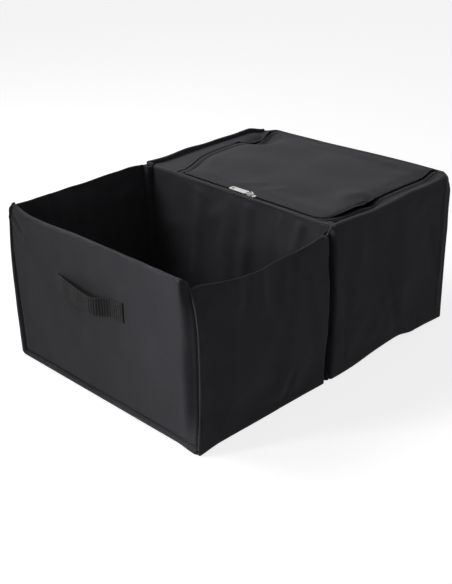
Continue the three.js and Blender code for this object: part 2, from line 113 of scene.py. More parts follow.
def crease(a, b, start, end, width, height):
    """Ridge, or groove where the height is negative, along a line from start to end."""
    start, end = np.array(start), np.array(end)
    along = end - start
    share = ((a - start[0]) * along[0] + (b - start[1]) * along[1]) / (along @ along)
    held = np.clip(share, 0, 1)
    off = np.hypot(a - start[0] - held * along[0], b - start[1] - held * along[1])
    return height * ridge(off, width)


def creases(a, b, lines):
    """Sum of creases, each as start, end, width and height. The last two are in millimetres."""
    return sum(crease(a, b, start, end, width * MM, height * MM) for start, end, width, height in lines)


def bump(a, b, centre, size, height):
    """Round rise, or dent where the height is negative. The size is one radius or two."""
    wide, tall = size if hasattr(size, "__len__") else (size, size)
    return height * np.exp(-((a - centre[0]) / wide) ** 2 - ((b - centre[1]) / tall) ** 2)


def bumps(a, b, spots):
    """Sum of bumps, each as centre, two radii and height. The last three are in millimetres."""
    return sum(bump(a, b, centre, (wide * MM, tall * MM), height * MM)
               for centre, wide, tall, height in spots)


def soft_floor(value, level, width=0.5 * MM):
    """The value, kept above a level with a gentle bend instead of a sharp one."""
    return level + width * np.logaddexp(0, (value - level) / width)


def smooth_step(x, low, high):
    """0 below low, 1 above high, and a smooth rise between."""
    t = np.clip((x - low) / (high - low), 0, 1)
    return t * t * (3 - 2 * t)


# How the used box has settled
def settled(points):
    """The points where they are on the used box.

    Corners are drawn in, edges sag or are raised, and the zip is pushed in."""
    points = np.array(points, float)
    x, y, z = points.T
    shift_x, shift_y, shift_z = 0 * x, 0 * x, 0 * x

    # back left corner of the top drawn in, back right corner rounded
    left_corner = smooth_step(z, 0.12, RIM) * corner_share(x, y, (-HALF_WIDTH, FAR_END), 46 * MM)
    right_corner = smooth_step(z, 0.240, RIM) * corner_share(x, y, (HALF_WIDTH, FAR_END), 18 * MM)
    shift_x += 15 * MM * left_corner - 4 * MM * right_corner
    shift_y += -13 * MM * left_corner - 3 * MM * right_corner
    shift_z += -3 * MM * left_corner - 2 * MM * right_corner

    # far edge raised toward the right
    raised = smooth_step(x, -0.16, 0.16) * smooth_step(y, 0.262, 0.290) * smooth_step(z, 0.15, RIM)
    shift_z += 7 * MM * raised * (1 - 0.7 * smooth_step(x, 0.205, 0.218))

    # zip line pushed in behind its near left corner
    top = smooth_step(z, 0.245, 0.257)
    wide = np.where(x > -0.176, 0.060, 0.030)
    long = np.where(y < 0.030, 0.030, 0.052)
    shift_x += 33 * MM * top * np.exp(-((x + 0.176) / wide) ** 2 - ((y - 0.030) / long) ** 2)

    # groove between the compartments bowed toward the cooler on the right
    groove = ridge(y + 0.010, 0.030) * smooth_step(x, 0.185, 0.210)
    shift_y += 7 * MM * np.sin(math.pi * np.clip(z / RIM, 0, 1)) * groove

    # right edge of the top sagging between its corners
    rim = smooth_step(x, 0.198, 0.212) * smooth_step(z, 0.20, RIM)
    shift_z -= 4.5 * MM * rim * ridge(y - 0.105, 0.065)

    # top edge of the end panel and of the left wall beside it
    front = smooth_step(-y, 0.255, 0.290) * smooth_step(z, 0.10, RIM)
    shift_z += front * (bump(x, 0, (-0.220, 0), (34 * MM, 1), 8 * MM)
                        + bump(x, 0, (-0.120, 0), (60 * MM, 1), -4 * MM))
    left_wall = (smooth_step(-x, 0.19, 0.215) * smooth_step(-y, 0.0, 0.05)
                 * smooth_step(z, 0.10, RIM) * (1 - front))
    shift_z += left_wall * 5 * MM
    shift_x -= left_wall * 3 * MM * np.sin(math.pi * np.clip(-y / 0.3, 0, 1))

    # near corners: drawn in at the top, bowed out half way down, a full foot on the right
    corner = corner_share(np.abs(x), y, (HALF_WIDTH, NEAR_END), 42 * MM)
    bow = 3.5 * MM * np.sin(math.pi * np.clip(z / RIM, 0, 1)) - 6 * MM * smooth_step(z, 0.17, RIM)
    shift_x += np.sign(x) * bow * corner
    foot = (1 - smooth_step(z, 0.0, 0.11)) * corner_share(x, y, (HALF_WIDTH, NEAR_END), 45 * MM)
    shift_x += 4 * MM * foot
    shift_y -= 5 * MM * foot
    shift_z += bottom_lift(x, y) * (1 - smooth_step(z, 0.0, 0.15))

    # corners of the end panel's top rounded off, the right near corner turned back above its foot
    rounding = smooth_step(z, RIM - 16 * MM, RIM) * smooth_step(-x, 0.180, 0.216) * (y < PANEL_BACK + 2 * MM)
    shift_x += 7 * MM * rounding ** 2
    back = corner_share(x, y, (HALF_WIDTH, NEAR_END), 30 * MM)
    inward = 1 - smooth_step(np.hypot((HALF_WIDTH - x) / (30 * MM), (y - NEAR_END) / (85 * MM)), 0, 1)
    above_foot = smooth_step(z, 0.0, 0.07)
    upper = smooth_step(z, 0.200, RIM) ** 2
    shift_x -= (11 * above_foot + 6 * upper) * MM * inward
    shift_y += (1 + 12 * above_foot) * MM * back
    shift_z -= 10 * MM * upper * back
    return np.stack([x + shift_x, y + shift_y, z + shift_z], axis=1)


def corner_share(x, y, corner, reach):
    """1 at a corner of the plan, falling to 0 at the given reach from it."""
    off = np.hypot(x - corner[0], y - corner[1])
    return 1 - smooth_step(off, 0, reach)


def bottom_lift(x, y):
    """How far the cooler's lower edge is drawn up between the corners on the right."""
    rise = 12 * MM * smooth_step(y, 0.01, 0.165) * (1 - 0.55 * smooth_step(y, 0.172, 0.215))
    rise -= 2 * MM * smooth_step(y, 0.24, 0.3)
    return rise * smooth_step(x, 0.150, 0.205)


# Meshes
def new_object(name, points, faces, uv=None):
    """Mesh object from points on the new box, which are moved to where the used box has them."""
    points = settled(points)
    mesh = bpy.data.meshes.new(name)
    mesh.from_pydata(points.tolist(), [], [list(map(int, f)) for f in faces])
    mesh.update()
    mesh.shade_smooth()
    if uv is not None:
        layer = mesh.uv_layers.new(name="cloth")
        loops = np.zeros(len(mesh.loops), np.int32)
        mesh.loops.foreach_get("vertex_index", loops)
        layer.data.foreach_set("uv", np.asarray(uv, np.float32)[loops].ravel())
    obj = bpy.data.objects.new(name, mesh)
    bpy.context.scene.collection.objects.link(obj)
    return obj


def grid_object(name, points, flip=False, closed=False):
    """Sheet through a grid of points, with its lengths along both ways as UV in metres."""
    rows, columns = points.shape[:2]
    along = np.linalg.norm(np.diff(points, axis=0), axis=2).mean(1)
    across = np.linalg.norm(np.diff(points, axis=1), axis=2).mean(0)
    u = np.concatenate([[0], np.cumsum(along)])
    v = np.concatenate([[0], np.cumsum(across)])
    uv = np.stack(np.meshgrid(u, v, indexing="ij"), axis=2).reshape(-1, 2)
    index = np.arange(rows * columns).reshape(rows, columns)
    if closed:
        index = np.vstack([index, index[:1]])
    quads = np.stack([index[:-1, :-1], index[1:, :-1], index[1:, 1:], index[:-1, 1:]], axis=2).reshape(-1, 4)
    return new_object(name, points.reshape(-1, 3), quads[:, ::-1] if flip else quads, uv)


def laid_object(name, flat, z, faces):
    """Flat cloth laid out at the height z over each of its points."""
    return new_object(name, np.column_stack([flat, z]), faces, flat)


def thicken(obj, thickness=CLOTH, offset=-1.0):
    solid = obj.modifiers.new("thickness", "SOLIDIFY")
    solid.thickness = thickness
    solid.offset = offset
    return obj


def inside(points, outline):
    """Which points lie inside a closed outline."""
    x, y = points[:, 0][:, None], points[:, 1][:, None]
    x0, y0 = outline[:, 0], outline[:, 1]
    x1, y1 = np.roll(x0, -1), np.roll(y0, -1)
    crosses = (y0 > y) != (y1 > y)
    rise = np.where(y1 == y0, 1e-12, y1 - y0)
    return (crosses & (x < (x1 - x0) * (y - y0) / rise + x0)).sum(1) % 2 == 1


def distance_to(points, outline, closed=True):
    """Distance of each point from a line through the given corners."""
    start = outline if closed else outline[:-1]
    end = np.roll(outline, -1, axis=0) if closed else outline[1:]
    along = end - start
    length = np.maximum((along ** 2).sum(1), 1e-18)
    result = np.full(len(points), 1e9)
    for s, d, l in zip(start, along, length):
        share = np.clip(((points - s) @ d) / l, 0, 1)
        result = np.minimum(result, np.hypot(*(points - s - share[:, None] * d).T))
    return result


def spaced(outline, step):
    """The same closed outline with points at most one step apart."""
    points = []
    for start, end in zip(outline, np.roll(outline, -1, axis=0)):
        count = max(1, math.ceil(np.linalg.norm(end - start) / step))
        points += [start + (end - start) * k / count for k in range(count)]
    return np.array(points)


def rectangle(left, right, low, high):
    return [(left, low), (right, low), (right, high), (left, high)]


def in_cloth(points, edges):
    """Which points lie inside the first edge and outside the others, which are holes."""
    good = inside(points, edges[0])
    for hole in edges[1:]:
        good &= ~inside(points, hole)
    return good


def nearest_edge(points, edges):
    """Distance of each point from the nearest of some closed lines."""
    return np.min([distance_to(points, edge) for edge in edges], axis=0)


def cloth_points(edges, step, rings):
    """Points on the edges, on rings beside them, and on a lattice that fills the rest."""
    low, high = edges[0].min(0), edges[0].max(0)
    lattice = np.array([(x, y) for k, y in enumerate(np.arange(low[1], high[1], step * math.sqrt(3) / 2))
                        for x in np.arange(low[0] + (k % 2) * step / 2, high[0], step)])
    beside = []
    for ring in rings:
        for edge in edges:
            tangent = np.roll(edge, -1, axis=0) - np.roll(edge, 1, axis=0)
            tangent /= np.maximum(np.linalg.norm(tangent, axis=1), 1e-12)[:, None]
            normal = np.stack([-tangent[:, 1], tangent[:, 0]], axis=1)
            beside += [edge + normal * side * ring * MM for side in (-1, 1)]
    ring_size = 2 * sum(len(edge) for edge in edges)
    ring_clear = np.repeat([ring * MM for ring in rings], ring_size) * 0.93
    lattice_clear = np.full(len(lattice), rings[-1] * MM + step * 0.4)
    kept = list(edges)
    for points, clear in ((np.vstack(beside), ring_clear), (lattice, lattice_clear)):
        good = in_cloth(points, edges)
        points, clear = points[good], clear[good]
        kept.append(points[nearest_edge(points, edges) > clear])
    return np.vstack(kept)


def cut_cloth(outline, holes=(), edge_step=2.5 * MM, *, step, rings):
    """Flat cloth cut to an outline: its points, triangles, and each point's distance from the edge.

    The rings are distances from the edge in millimetres, where the cloth has rows of points."""
    edges = [spaced(np.array(line, float), edge_step) for line in (outline, *holes)]
    points = cloth_points(edges, step, rings)
    kept_lines = []
    for edge in edges:
        start, n = len(kept_lines), len(edge)
        kept_lines += [(start + k, start + (k + 1) % n) for k in range(n)]
    verts, _, faces, _, _, _ = delaunay_2d_cdt([Vector(p) for p in points], kept_lines, [], 0, 1e-7)
    verts = np.array([tuple(v) for v in verts])
    faces = np.array([f for f in faces if len(f) == 3])
    faces = faces[in_cloth(verts[faces].mean(1), edges)]
    a, b, c = (verts[faces[:, k]] for k in range(3))
    area = (b[:, 0] - a[:, 0]) * (c[:, 1] - a[:, 1]) - (b[:, 1] - a[:, 1]) * (c[:, 0] - a[:, 0])
    real = np.abs(area) > 1e-12
    faces, area = faces[real], area[real]
    faces[area < 0] = faces[area < 0][:, ::-1]
    return verts, faces, nearest_edge(verts, edges)


def rounded_path(corners, steps=10):
    """Plan line through corners (x, y, radius)."""
    path = [np.array(corners[0][:2])]
    for before, here, after in zip(corners, corners[1:], corners[2:]):
        point = np.array(here[:2])
        back = np.array(before[:2]) - point
        ahead = np.array(after[:2]) - point
        back, ahead = back / np.linalg.norm(back), ahead / np.linalg.norm(ahead)
        half = math.acos(float(np.clip(back @ ahead, -1, 1))) / 2
        middle = (back + ahead) / np.linalg.norm(back + ahead)
        centre = point + middle * here[2] / math.sin(half)
        start = point + back * here[2] / math.tan(half) - centre
        end = point + ahead * here[2] / math.tan(half) - centre
        sweep = math.atan2(start[0] * end[1] - start[1] * end[0], float(start @ end))
        for k in range(steps + 1):
            t = sweep * k / steps
            path.append(centre + [start[0] * math.cos(t) - start[1] * math.sin(t),
                                  start[0] * math.sin(t) + start[1] * math.cos(t)])
    path.append(np.array(corners[-1][:2]))
    return np.array(path)


class Line:
    """Plan line that gives its point and left normal at any length along it."""

    def __init__(self, points):
        self.points = np.array(points, float)
        self.at = lengths_along(self.points)
        self.length = self.at[-1]

    def point(self, s):
        return np.stack([np.interp(s, self.at, self.points[:, k]) for k in (0, 1)], axis=-1)

    def normal(self, s, reach=1.5 * MM):
        ahead = self.point(np.clip(np.asarray(s) + reach, 0, self.length))
        behind = self.point(np.clip(np.asarray(s) - reach, 0, self.length))
        tangent = ahead - behind
        tangent /= np.linalg.norm(tangent, axis=-1, keepdims=True)
        return np.stack([-tangent[..., 1], tangent[..., 0]], axis=-1)

    def place(self, s, offset, z):
        """Points at length s, moved to the left by offset, at height z."""
        plan = self.point(s) + self.normal(s) * np.asarray(offset)[..., None]
        return np.concatenate([plan, np.asarray(z)[..., None] + np.zeros(plan.shape[:-1] + (1,))], axis=-1)


# Cloth simulation
TRIAL_CELL = 7 * MM
TRIAL_FADE = 20 * MM
TRIAL_LIFT = 0.5 * MM
TRIAL_FRAMES = 22
TRIAL_CLOTH = {"quality": 6, "mass": 0.15, "tension_stiffness": 15, "compression_stiffness": 15,
               "shear_stiffness": 5, "bending_stiffness": 0.8}


def wrinkle_field(wide, tall, grow, seed):
    """Out-of-plane movement of a cloth sewn into a frame that is a little too small for it.

    The result is a grid from one corner to the other, from a cloth modifier on a trial sheet."""
    rows, columns = round(wide / TRIAL_CELL) + 1, round(tall / TRIAL_CELL) + 1
    a, b = np.meshgrid(np.linspace(0, wide, rows), np.linspace(0, tall, columns), indexing="ij")
    fade = np.sin(math.pi * a / wide) * smooth_step(b, 0, TRIAL_FADE) * smooth_step(tall - b, 0, TRIAL_FADE)
    lift = TRIAL_LIFT * ripple(a, b, seed, 45 * MM) * fade
    obj = grid_object("trial_cloth", np.stack([a, b, lift], axis=2))
    pinned = obj.vertex_groups.new(name="pinned")
    index = np.arange(rows * columns).reshape(rows, columns)
    held = np.unique(np.concatenate([index[0], index[-1], index[:, 0], index[:, -1]]))
    pinned.add([int(k) for k in held], 1.0, "REPLACE")
    cloth = obj.modifiers.new("cloth", "CLOTH")
    cloth.settings.effector_weights.gravity = 0
    for key, value in {**TRIAL_CLOTH, "shrink_min": -grow, "vertex_group_mass": "pinned"}.items():
        setattr(cloth.settings, key, value)
    cloth.collision_settings.use_collision = False
    scene = bpy.context.scene
    for number in range(1, TRIAL_FRAMES + 1):
        scene.frame_set(number)
    shown = obj.evaluated_get(bpy.context.evaluated_depsgraph_get())
    places = np.zeros(rows * columns * 3, np.float32)
    shown.data.vertices.foreach_get("co", places)
    field = places.reshape(rows, columns, 3)[..., 2].astype(float)
    scene.frame_set(1)
    mesh = obj.data
    bpy.data.objects.remove(obj)
    bpy.data.meshes.remove(mesh)
    return folds_only(field, 5)


def folds_only(field, reach):
    """The field without its broad swell, scaled so that its strong folds measure one."""
    broad = field
    for axis in (0, 1, 0, 1):
        padded = np.pad(broad, [(reach, reach) if k == axis else (0, 0) for k in (0, 1)], mode="edge")
        total = np.cumsum(padded, axis=axis)
        total = np.insert(total, 0, 0, axis=axis)
        size = 2 * reach + 1
        broad = (np.take(total, range(size, total.shape[axis]), axis=axis)
                 - np.take(total, range(0, total.shape[axis] - size), axis=axis)) / size
    folds = field - broad
    return folds / max(float(np.percentile(np.abs(folds), 95)), 1e-6)


def sample(field, share_a, share_b, cap):
    """Smooth value of a grid at shares from 0 to 1 along both ways, held within the cap."""
    rows, columns = field.shape
    a = np.clip(share_a, 0, 1) * (rows - 1)
    b = np.clip(share_b, 0, 1) * (columns - 1)
    i, j = np.floor(a).astype(int), np.floor(b).astype(int)
    i, j = np.minimum(i, rows - 2), np.minimum(j, columns - 2)
    total = 0.0
    for k, weight_a in enumerate(cubic_weights(a - i)):
        row = np.clip(i + k - 1, 0, rows - 1)
        for n, weight_b in enumerate(cubic_weights(b - j)):
            total = total + weight_a * weight_b * field[row, np.clip(j + n - 1, 0, columns - 1)]
    return cap * np.tanh(total)


def cubic_weights(t):
    """Weights of four neighbours in a row for a smooth value between the middle two."""
    return ((1 - t) ** 3 / 6, (3 * t ** 3 - 6 * t ** 2 + 4) / 6,
            (-3 * t ** 3 + 3 * t ** 2 + 3 * t + 1) / 6, t ** 3 / 6)


# Materials
def new_material(name):
    material = bpy.data.materials.new(name)
    material.use_nodes = True
    tree = material.node_tree
    return material, tree, tree.nodes["Principled BSDF"]


def set_inputs(node, **values):
    """Input values of a node. An underscore stands for a space in the input's name."""
    for key, value in values.items():
        node.inputs[key.replace("_", " ")].default_value = value


def add_node(tree, kind, **values):
    """New node, its inputs and its own settings given by name."""
    node = tree.nodes.new(kind)
    for key, value in values.items():
        if key in node.inputs:
            node.inputs[key].default_value = value
        else:
            setattr(node, key, value)
    return node


def waves(tree, where, rates, operation):
    """Sine waves along both ways of a cloth's UV, which is in metres, multiplied or added."""
    parts = add_node(tree, "ShaderNodeSeparateXYZ")
    tree.links.new(where.outputs["UV"], parts.inputs[0])
    both = add_node(tree, "ShaderNodeMath", operation=operation)
    for axis, rate in enumerate(rates):
        turn = add_node(tree, "ShaderNodeMath", operation="MULTIPLY")
        turn.inputs[1].default_value = rate
        wave = add_node(tree, "ShaderNodeMath", operation="SINE")
        tree.links.new(parts.outputs[axis], turn.inputs[0])
        tree.links.new(turn.outputs[0], wave.inputs[0])
        tree.links.new(wave.outputs[0], both.inputs[axis])
    return both.outputs[0]


def noise(tree, where, scale, detail):
    node = add_node(tree, "ShaderNodeTexNoise", Scale=scale, Detail=detail)
    tree.links.new(where.outputs["Object"], node.inputs["Vector"])
    return node.outputs["Fac"]


def mapped(tree, value, ends, low, high):
    """A value through a map range node. The ends that differ from 0 to 1 are From or To."""
    node = add_node(tree, "ShaderNodeMapRange")
    node.inputs[f"{ends} Min"].default_value = low
    node.inputs[f"{ends} Max"].default_value = high
    tree.links.new(value, node.inputs["Value"])
    return node.outputs[0]


def colour_by(tree, shader, share, colour, light):
    """Base colour between two colours, by a share from 0 to 1."""
    node = add_node(tree, "ShaderNodeMix", data_type="RGBA")
    node.inputs[6].default_value = (*colour, 1)
    node.inputs[7].default_value = (*light, 1)
    tree.links.new(share, node.inputs[0])
    tree.links.new(node.outputs[2], shader.inputs["Base Color"])


def relief_by(tree, shader, height, strength, distance):
    node = add_node(tree, "ShaderNodeBump", Strength=strength, Distance=distance)
    tree.links.new(height, node.inputs["Height"])
    tree.links.new(node.outputs[0], shader.inputs["Normal"])


def cloth_material(name, colour, light, pitch=0.9 * MM, sheen=0.03, weave=0.35):
    """Woven cloth: threads as bump, faint blotches in the colour, a weak sheen."""
    material, tree, shader = new_material(name)
    where = add_node(tree, "ShaderNodeTexCoord")
    blotch, fleck = noise(tree, where, 14.0, 4.0), noise(tree, where, 420.0, 2.0)
    mixed = add_node(tree, "ShaderNodeMix", data_type="FLOAT")
    mixed.inputs[0].default_value = 0.45
    tree.links.new(blotch, mixed.inputs[2])
    tree.links.new(fleck, mixed.inputs[3])
    colour_by(tree, shader, mapped(tree, mixed.outputs[0], "From", 0.3, 0.7), colour, light)
    tree.links.new(mapped(tree, blotch, "To", 0.70, 0.86), shader.inputs["Roughness"])
    relief_by(tree, shader, waves(tree, where, [math.pi / pitch] * 2, "MULTIPLY"), weave, 0.25 * MM)
    set_inputs(shader, Specular_IOR_Level=0.12, Sheen_Weight=sheen, Sheen_Roughness=0.5)
    return material


def webbing_material(name, colour, light):
    """Ribbed webbing: strong ribs across the strap, fine threads along it. The colour follows the ribs:
    painted shade in the grooves, painted light on the tops.
    """
    material, tree, shader = new_material(name)
    where = add_node(tree, "ShaderNodeTexCoord")
    rib_relief_and_shade = waves(tree, where, (2 * math.pi / RIB_PITCH, 2 * math.pi / (1.1 * MM)), "ADD")
    relief_by(tree, shader, rib_relief_and_shade, 0.6, 0.3 * MM)
    # painted shade and light: the colour goes from dark in the rib and thread grooves to light on their tops
    colour_by(tree, shader, mapped(tree, rib_relief_and_shade, "From", -2, 2), colour, light)
    set_inputs(shader, Roughness=0.6, Specular_IOR_Level=0.15, Sheen_Weight=0.04)
    return material


def plain_material(name, colour, light, roughness, metallic=0.0, grain=300.0, relief=0.15):
    """Plastic, film, foam or metal with a fine grain in colour, roughness and bump."""
    material, tree, shader = new_material(name)
    speckle = noise(tree, add_node(tree, "ShaderNodeTexCoord"), grain, 3.0)
    colour_by(tree, shader, speckle, colour, light)
    rough = mapped(tree, speckle, "To", roughness * 0.8, min(1.0, roughness * 1.2))
    tree.links.new(rough, shader.inputs["Roughness"])
    relief_by(tree, shader, speckle, relief, 0.4 * MM)
    set_inputs(shader, Metallic=metallic, Specular_IOR_Level=0.3)
    return material


FABRIC = cloth_material("black_woven_fabric", (0.031, 0.029, 0.034), (0.047, 0.045, 0.051))
LINING = cloth_material("black_lining", (0.024, 0.023, 0.026), (0.036, 0.034, 0.038), pitch=1.2 * MM)
PIPING = cloth_material("folded_edge_tape", (0.046, 0.044, 0.046), (0.070, 0.067, 0.070), sheen=0.06)
TAPE = cloth_material("zip_tape", (0.011, 0.010, 0.012), (0.018, 0.017, 0.019), pitch=0.6 * MM, weave=0.6,
                      sheen=0.0)
THREAD = plain_material("black_thread", (0.040, 0.039, 0.041), (0.095, 0.092, 0.096), 0.6)
# webbing colours: the darker one is painted shade for its grooves, the lighter one is painted light for its
# rib tops
WEBBING = webbing_material("black_webbing", (0.008, 0.008, 0.009), (0.030, 0.028, 0.030))
COIL = plain_material("black_nylon", (0.015, 0.015, 0.016), (0.030, 0.030, 0.032), 0.4)
METAL = plain_material("satin_nickel", (0.52, 0.51, 0.50), (0.68, 0.67, 0.66), 0.33, metallic=1.0,
                       grain=900.0, relief=0.05)
FILM = plain_material("grey_film", (0.40, 0.41, 0.43), (0.50, 0.51, 0.53), 0.34, grain=60.0)
FOAM = plain_material("white_foam", (0.74, 0.74, 0.71), (0.86, 0.86, 0.83), 0.9, grain=700.0, relief=0.6)
BOARD = plain_material("grey_board", (0.15, 0.145, 0.135), (0.22, 0.21, 0.20), 0.85, grain=160.0)


def shell_cloth(obj, node, body="root", **sheet):
    """Finish of a sheet of the black fabric. The rest, which says how it is cut and held, is not used."""
    thicken(obj)
    finish_piece(obj, FABRIC, body, [node])


def finish_piece(obj, material, body="root", nodes=()):
    """Material, body and replaced nodes of a piece."""
    obj.data.materials.clear()
    obj.data.materials.append(material)
    if body is not None:
        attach(obj, body)
    if nodes:
        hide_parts(*nodes)
    return obj


# Stitches and round bars
STITCH_PITCH = 3.6 * MM
STITCH_LENGTH = 2.7 * MM
STITCH_RADIUS = 0.28 * MM
STITCH_SIDES = 5
TUBE_SIDES = 12


def ring_points(centre, radius, aside, up, sides):
    """Points of one ring of a round bar."""
    turns = [2 * math.pi * n / sides for n in range(sides)]
    return [centre + radius * (aside * math.cos(turn) + up * math.sin(turn)) for turn in turns]


def bar_faces(base, rings, sides, flip=False):
    """Faces of a closed bar: the sides between its rings of points, then its two ends."""
    faces = []
    for a in range(base, base + (rings - 1) * sides, sides):
        for k in range(sides):
            b, c = a + k, a + (k + 1) % sides
            faces.append((b, b + sides, c + sides, c) if flip else (b, c, c + sides, b + sides))
    first = list(range(base, base + sides))
    last = [k + (rings - 1) * sides for k in first]
    return faces + ([first, last[::-1]] if flip else [first[::-1], last])


def lengths_along(line):
    """Length from the first point to each point of a line."""
    return np.concatenate([[0], np.cumsum(np.linalg.norm(np.diff(line, axis=0), axis=1))])


def stitches(name, lines, body="root"):
    """Rows of short threads along lines of 3-D points that lie on the cloth."""
    points, faces = [], []
    for line in lines:
        line = np.array(line, float)
        at = lengths_along(line)
        count = int(at[-1] / STITCH_PITCH)
        for k in range(count):
            middle = (k + 0.5) * at[-1] / count
            start, end = (np.array([np.interp(middle + half, at, line[:, c]) for c in range(3)])
                          for half in (-STITCH_LENGTH / 2, STITCH_LENGTH / 2))
            axis = end - start
            size = np.linalg.norm(axis)
            if size < 1e-6:
                continue
            axis /= size
            aside = np.cross(axis, [0.31, 0.22, 0.92])
            aside /= np.linalg.norm(aside)
            up = np.cross(axis, aside)
            faces += bar_faces(len(points), 4, STITCH_SIDES)
            for share, slim in ((0, 0.35), (0.2, 1.0), (0.8, 1.0), (1, 0.35)):
                points += ring_points(start + (end - start) * share, STITCH_RADIUS * slim, aside, up,
                                      STITCH_SIDES)
    return finish_piece(new_object(name, points, faces), THREAD, body)


def tube(name, lines, radii):
    """Round bars along lines of 3-D points, in one object. A radius is one value or one for each point."""
    points, faces, uv = [], [], []
    for line, radius in zip(lines, radii):
        line = np.array(line, float)
        radius = np.broadcast_to(radius, len(line))
        tangent = np.gradient(line, axis=0)
        tangent /= np.linalg.norm(tangent, axis=1)[:, None]
        guide = np.array([0, 0, 1.0]) if abs(tangent[0][2]) < 0.9 else np.array([1.0, 0, 0])
        faces += bar_faces(len(points), len(line), TUBE_SIDES, flip=True)
        for centre, ahead, size, length in zip(line, tangent, radius, lengths_along(line)):
            aside = np.cross(ahead, guide)
            aside /= np.linalg.norm(aside)
            points += ring_points(centre, size, aside, np.cross(aside, ahead), TUBE_SIDES)
            uv += [(length, size * 2 * math.pi * n / TUBE_SIDES) for n in range(TUBE_SIDES)]
    return new_object(name, points, faces, uv)


def piping(name, line, radius, node):
    finish_piece(tube(name, [line], [radius]), PIPING, nodes=[node])


# Board-stiffened end panel of the open compartment
PANEL_EDGE = 6.5 * MM
RIGHT_FLANGE = 24 * MM
LOWER_FLANGE = 10.5 * MM
LEFT_FLANGE_TOP = 4 * MM
PANEL_TOP_STITCH = 5.5 * MM
SLIT_X = (HANDLE_LOW.x + HANDLE_HIGH.x) / 2
SLIT_HALF_SPAN = 77 * MM
SLIT_HALF_WIDTH = 1.6 * MM
SLIT_REACH = 17 * MM


def panel_relief(x, z, seed):
    """How far the end panel's cloth stands out from its board at a place on it."""
    left = (PANEL_HALF + x) / (LOWER_FLANGE + (LEFT_FLANGE_TOP - LOWER_FLANGE) * smooth_step(z, 0.0, RIM))
    low = z / LOWER_FLANGE
    edge = np.maximum(-np.log(np.exp(-8 * left) + np.exp(-8 * low)) / 8, 0)
    rim = np.minimum(edge, (PANEL_HALF - x) / LOWER_FLANGE)
    shape = -2.4 * MM * ridge(rim, 0.18)
    shape += 2.2 * MM * np.exp(-((edge - 0.45) / 0.32) ** 4)
    shape += 0.5 * MM * (ridge(edge - 0.22, 0.06) + ridge(edge - 0.72, 0.06))
    shape -= 3.6 * MM * ridge(edge - 1.08, 0.19)
    from_right = PANEL_HALF - x
    face = smooth_step(edge, 1.0, 1.8) * smooth_step(from_right, 6 * MM, RIGHT_FLANGE)
    soft = 0.9 * MM + 0.7 * MM * ripple(x, z, seed, 70 * MM) + 0.2 * MM * ripple(x, z, seed + 1, 24 * MM)
    shape += face * soft
    below_top = RIM - z - PANEL_TOP_STITCH
    shape -= 1.6 * MM * ridge(below_top, 1.2 * MM) * smooth_step(edge, 0.6, 1.4)
    shape += creases(x, z, [((-0.214, 0.262), (-0.180, 0.236), 5, -1.6),
                            ((-0.212, 0.246), (-0.172, 0.226), 4, 1.3),
                            ((-0.205, 0.269), (-0.160, 0.262), 3, 1.0)])
    slits = (SLIT_X - SLIT_HALF_SPAN, SLIT_X + SLIT_HALF_SPAN)
    return shape + bumps(x, z, [((slit, HANDLE_MIDDLE), 8, 22, 0.7) for slit in slits])


def slit_holes(centre, half_width, spans):
    """Rectangles round a handle's two slits. Each span is their lower and upper end."""
    return [rectangle(slit - half_width, slit + half_width, low, high)
            for slit in (centre - SLIT_HALF_SPAN, centre + SLIT_HALF_SPAN) for low, high in spans]


def make_end_panel():
    """One sheet: up the front, over the top edge of the board, down the inside."""
    depth = PANEL_BACK - NEAR_END
    fold = math.pi * depth / 2
    total = 2 * (RIM - depth / 2) + fold
    lows = (HANDLE_MIDDLE - SLIT_REACH, total - HANDLE_MIDDLE - SLIT_REACH)
    slits = slit_holes(SLIT_X, SLIT_HALF_WIDTH, [(low, low + 2 * SLIT_REACH) for low in lows])
    reach = PANEL_HALF + 1.5 * MM
    flat, faces, _ = cut_cloth(rectangle(-reach, reach, 0, total), slits, step=4.4 * MM,
                               rings=(0.8, 1.6, 2.6, 3.6, 4.8, 6.0, 7.0, 8.0, 9.0, 10.0, 11.5, 13.5))
    x, s = flat.T
    straight = RIM - depth / 2
    turn = np.clip((s - straight) / fold, 0, 1) * math.pi
    front = s < straight
    back = s > straight + fold
    z = np.where(front, s, np.where(back, total - s, straight + depth / 2 * np.sin(turn)))
    y = np.where(front, NEAR_END, np.where(back, PANEL_BACK, NEAR_END + depth / 2 * (1 - np.cos(turn))))
    relief = panel_relief(x * PANEL_HALF / reach, z, 3)
    relief = np.where(back, np.clip(relief, -1.0 * MM, 1.0 * MM), relief)
    outward_y = np.where(front, -1.0, np.where(back, 1.0, -np.cos(turn)))
    outward_z = np.where(front | back, 0.0, np.sin(turn))
    points = np.stack([x, y + outward_y * relief, z + outward_z * relief], axis=1)
    shell_cloth(new_object("end_panel_sheet", points, faces, flat), "end_panel_cover",
                flat=(2 * reach, total), held="stretched", rests_on=["end_board"])
    rows = []
    across = np.linspace(-PANEL_HALF + 4 * MM, PANEL_HALF - 4 * MM, 160)
    for level in (RIM - PANEL_TOP_STITCH, LOWER_FLANGE * 0.5):
        out = NEAR_END - panel_relief(across, np.full_like(across, level), 3) - 0.1 * MM
        rows.append(np.stack([across, out, np.full_like(across, level)], axis=1))
    height = np.linspace(12 * MM, RIM - 8 * MM, 90)
    x = np.full_like(height, -PANEL_HALF + LOWER_FLANGE * 0.4)
    rows.append(np.stack([x, NEAR_END - panel_relief(x, height, 3) - 0.1 * MM, height], axis=1))
    stitches("end_panel_stitching", rows)


SEAM_IN = 1.4 * MM
SEAM_BACK = 2.2 * MM


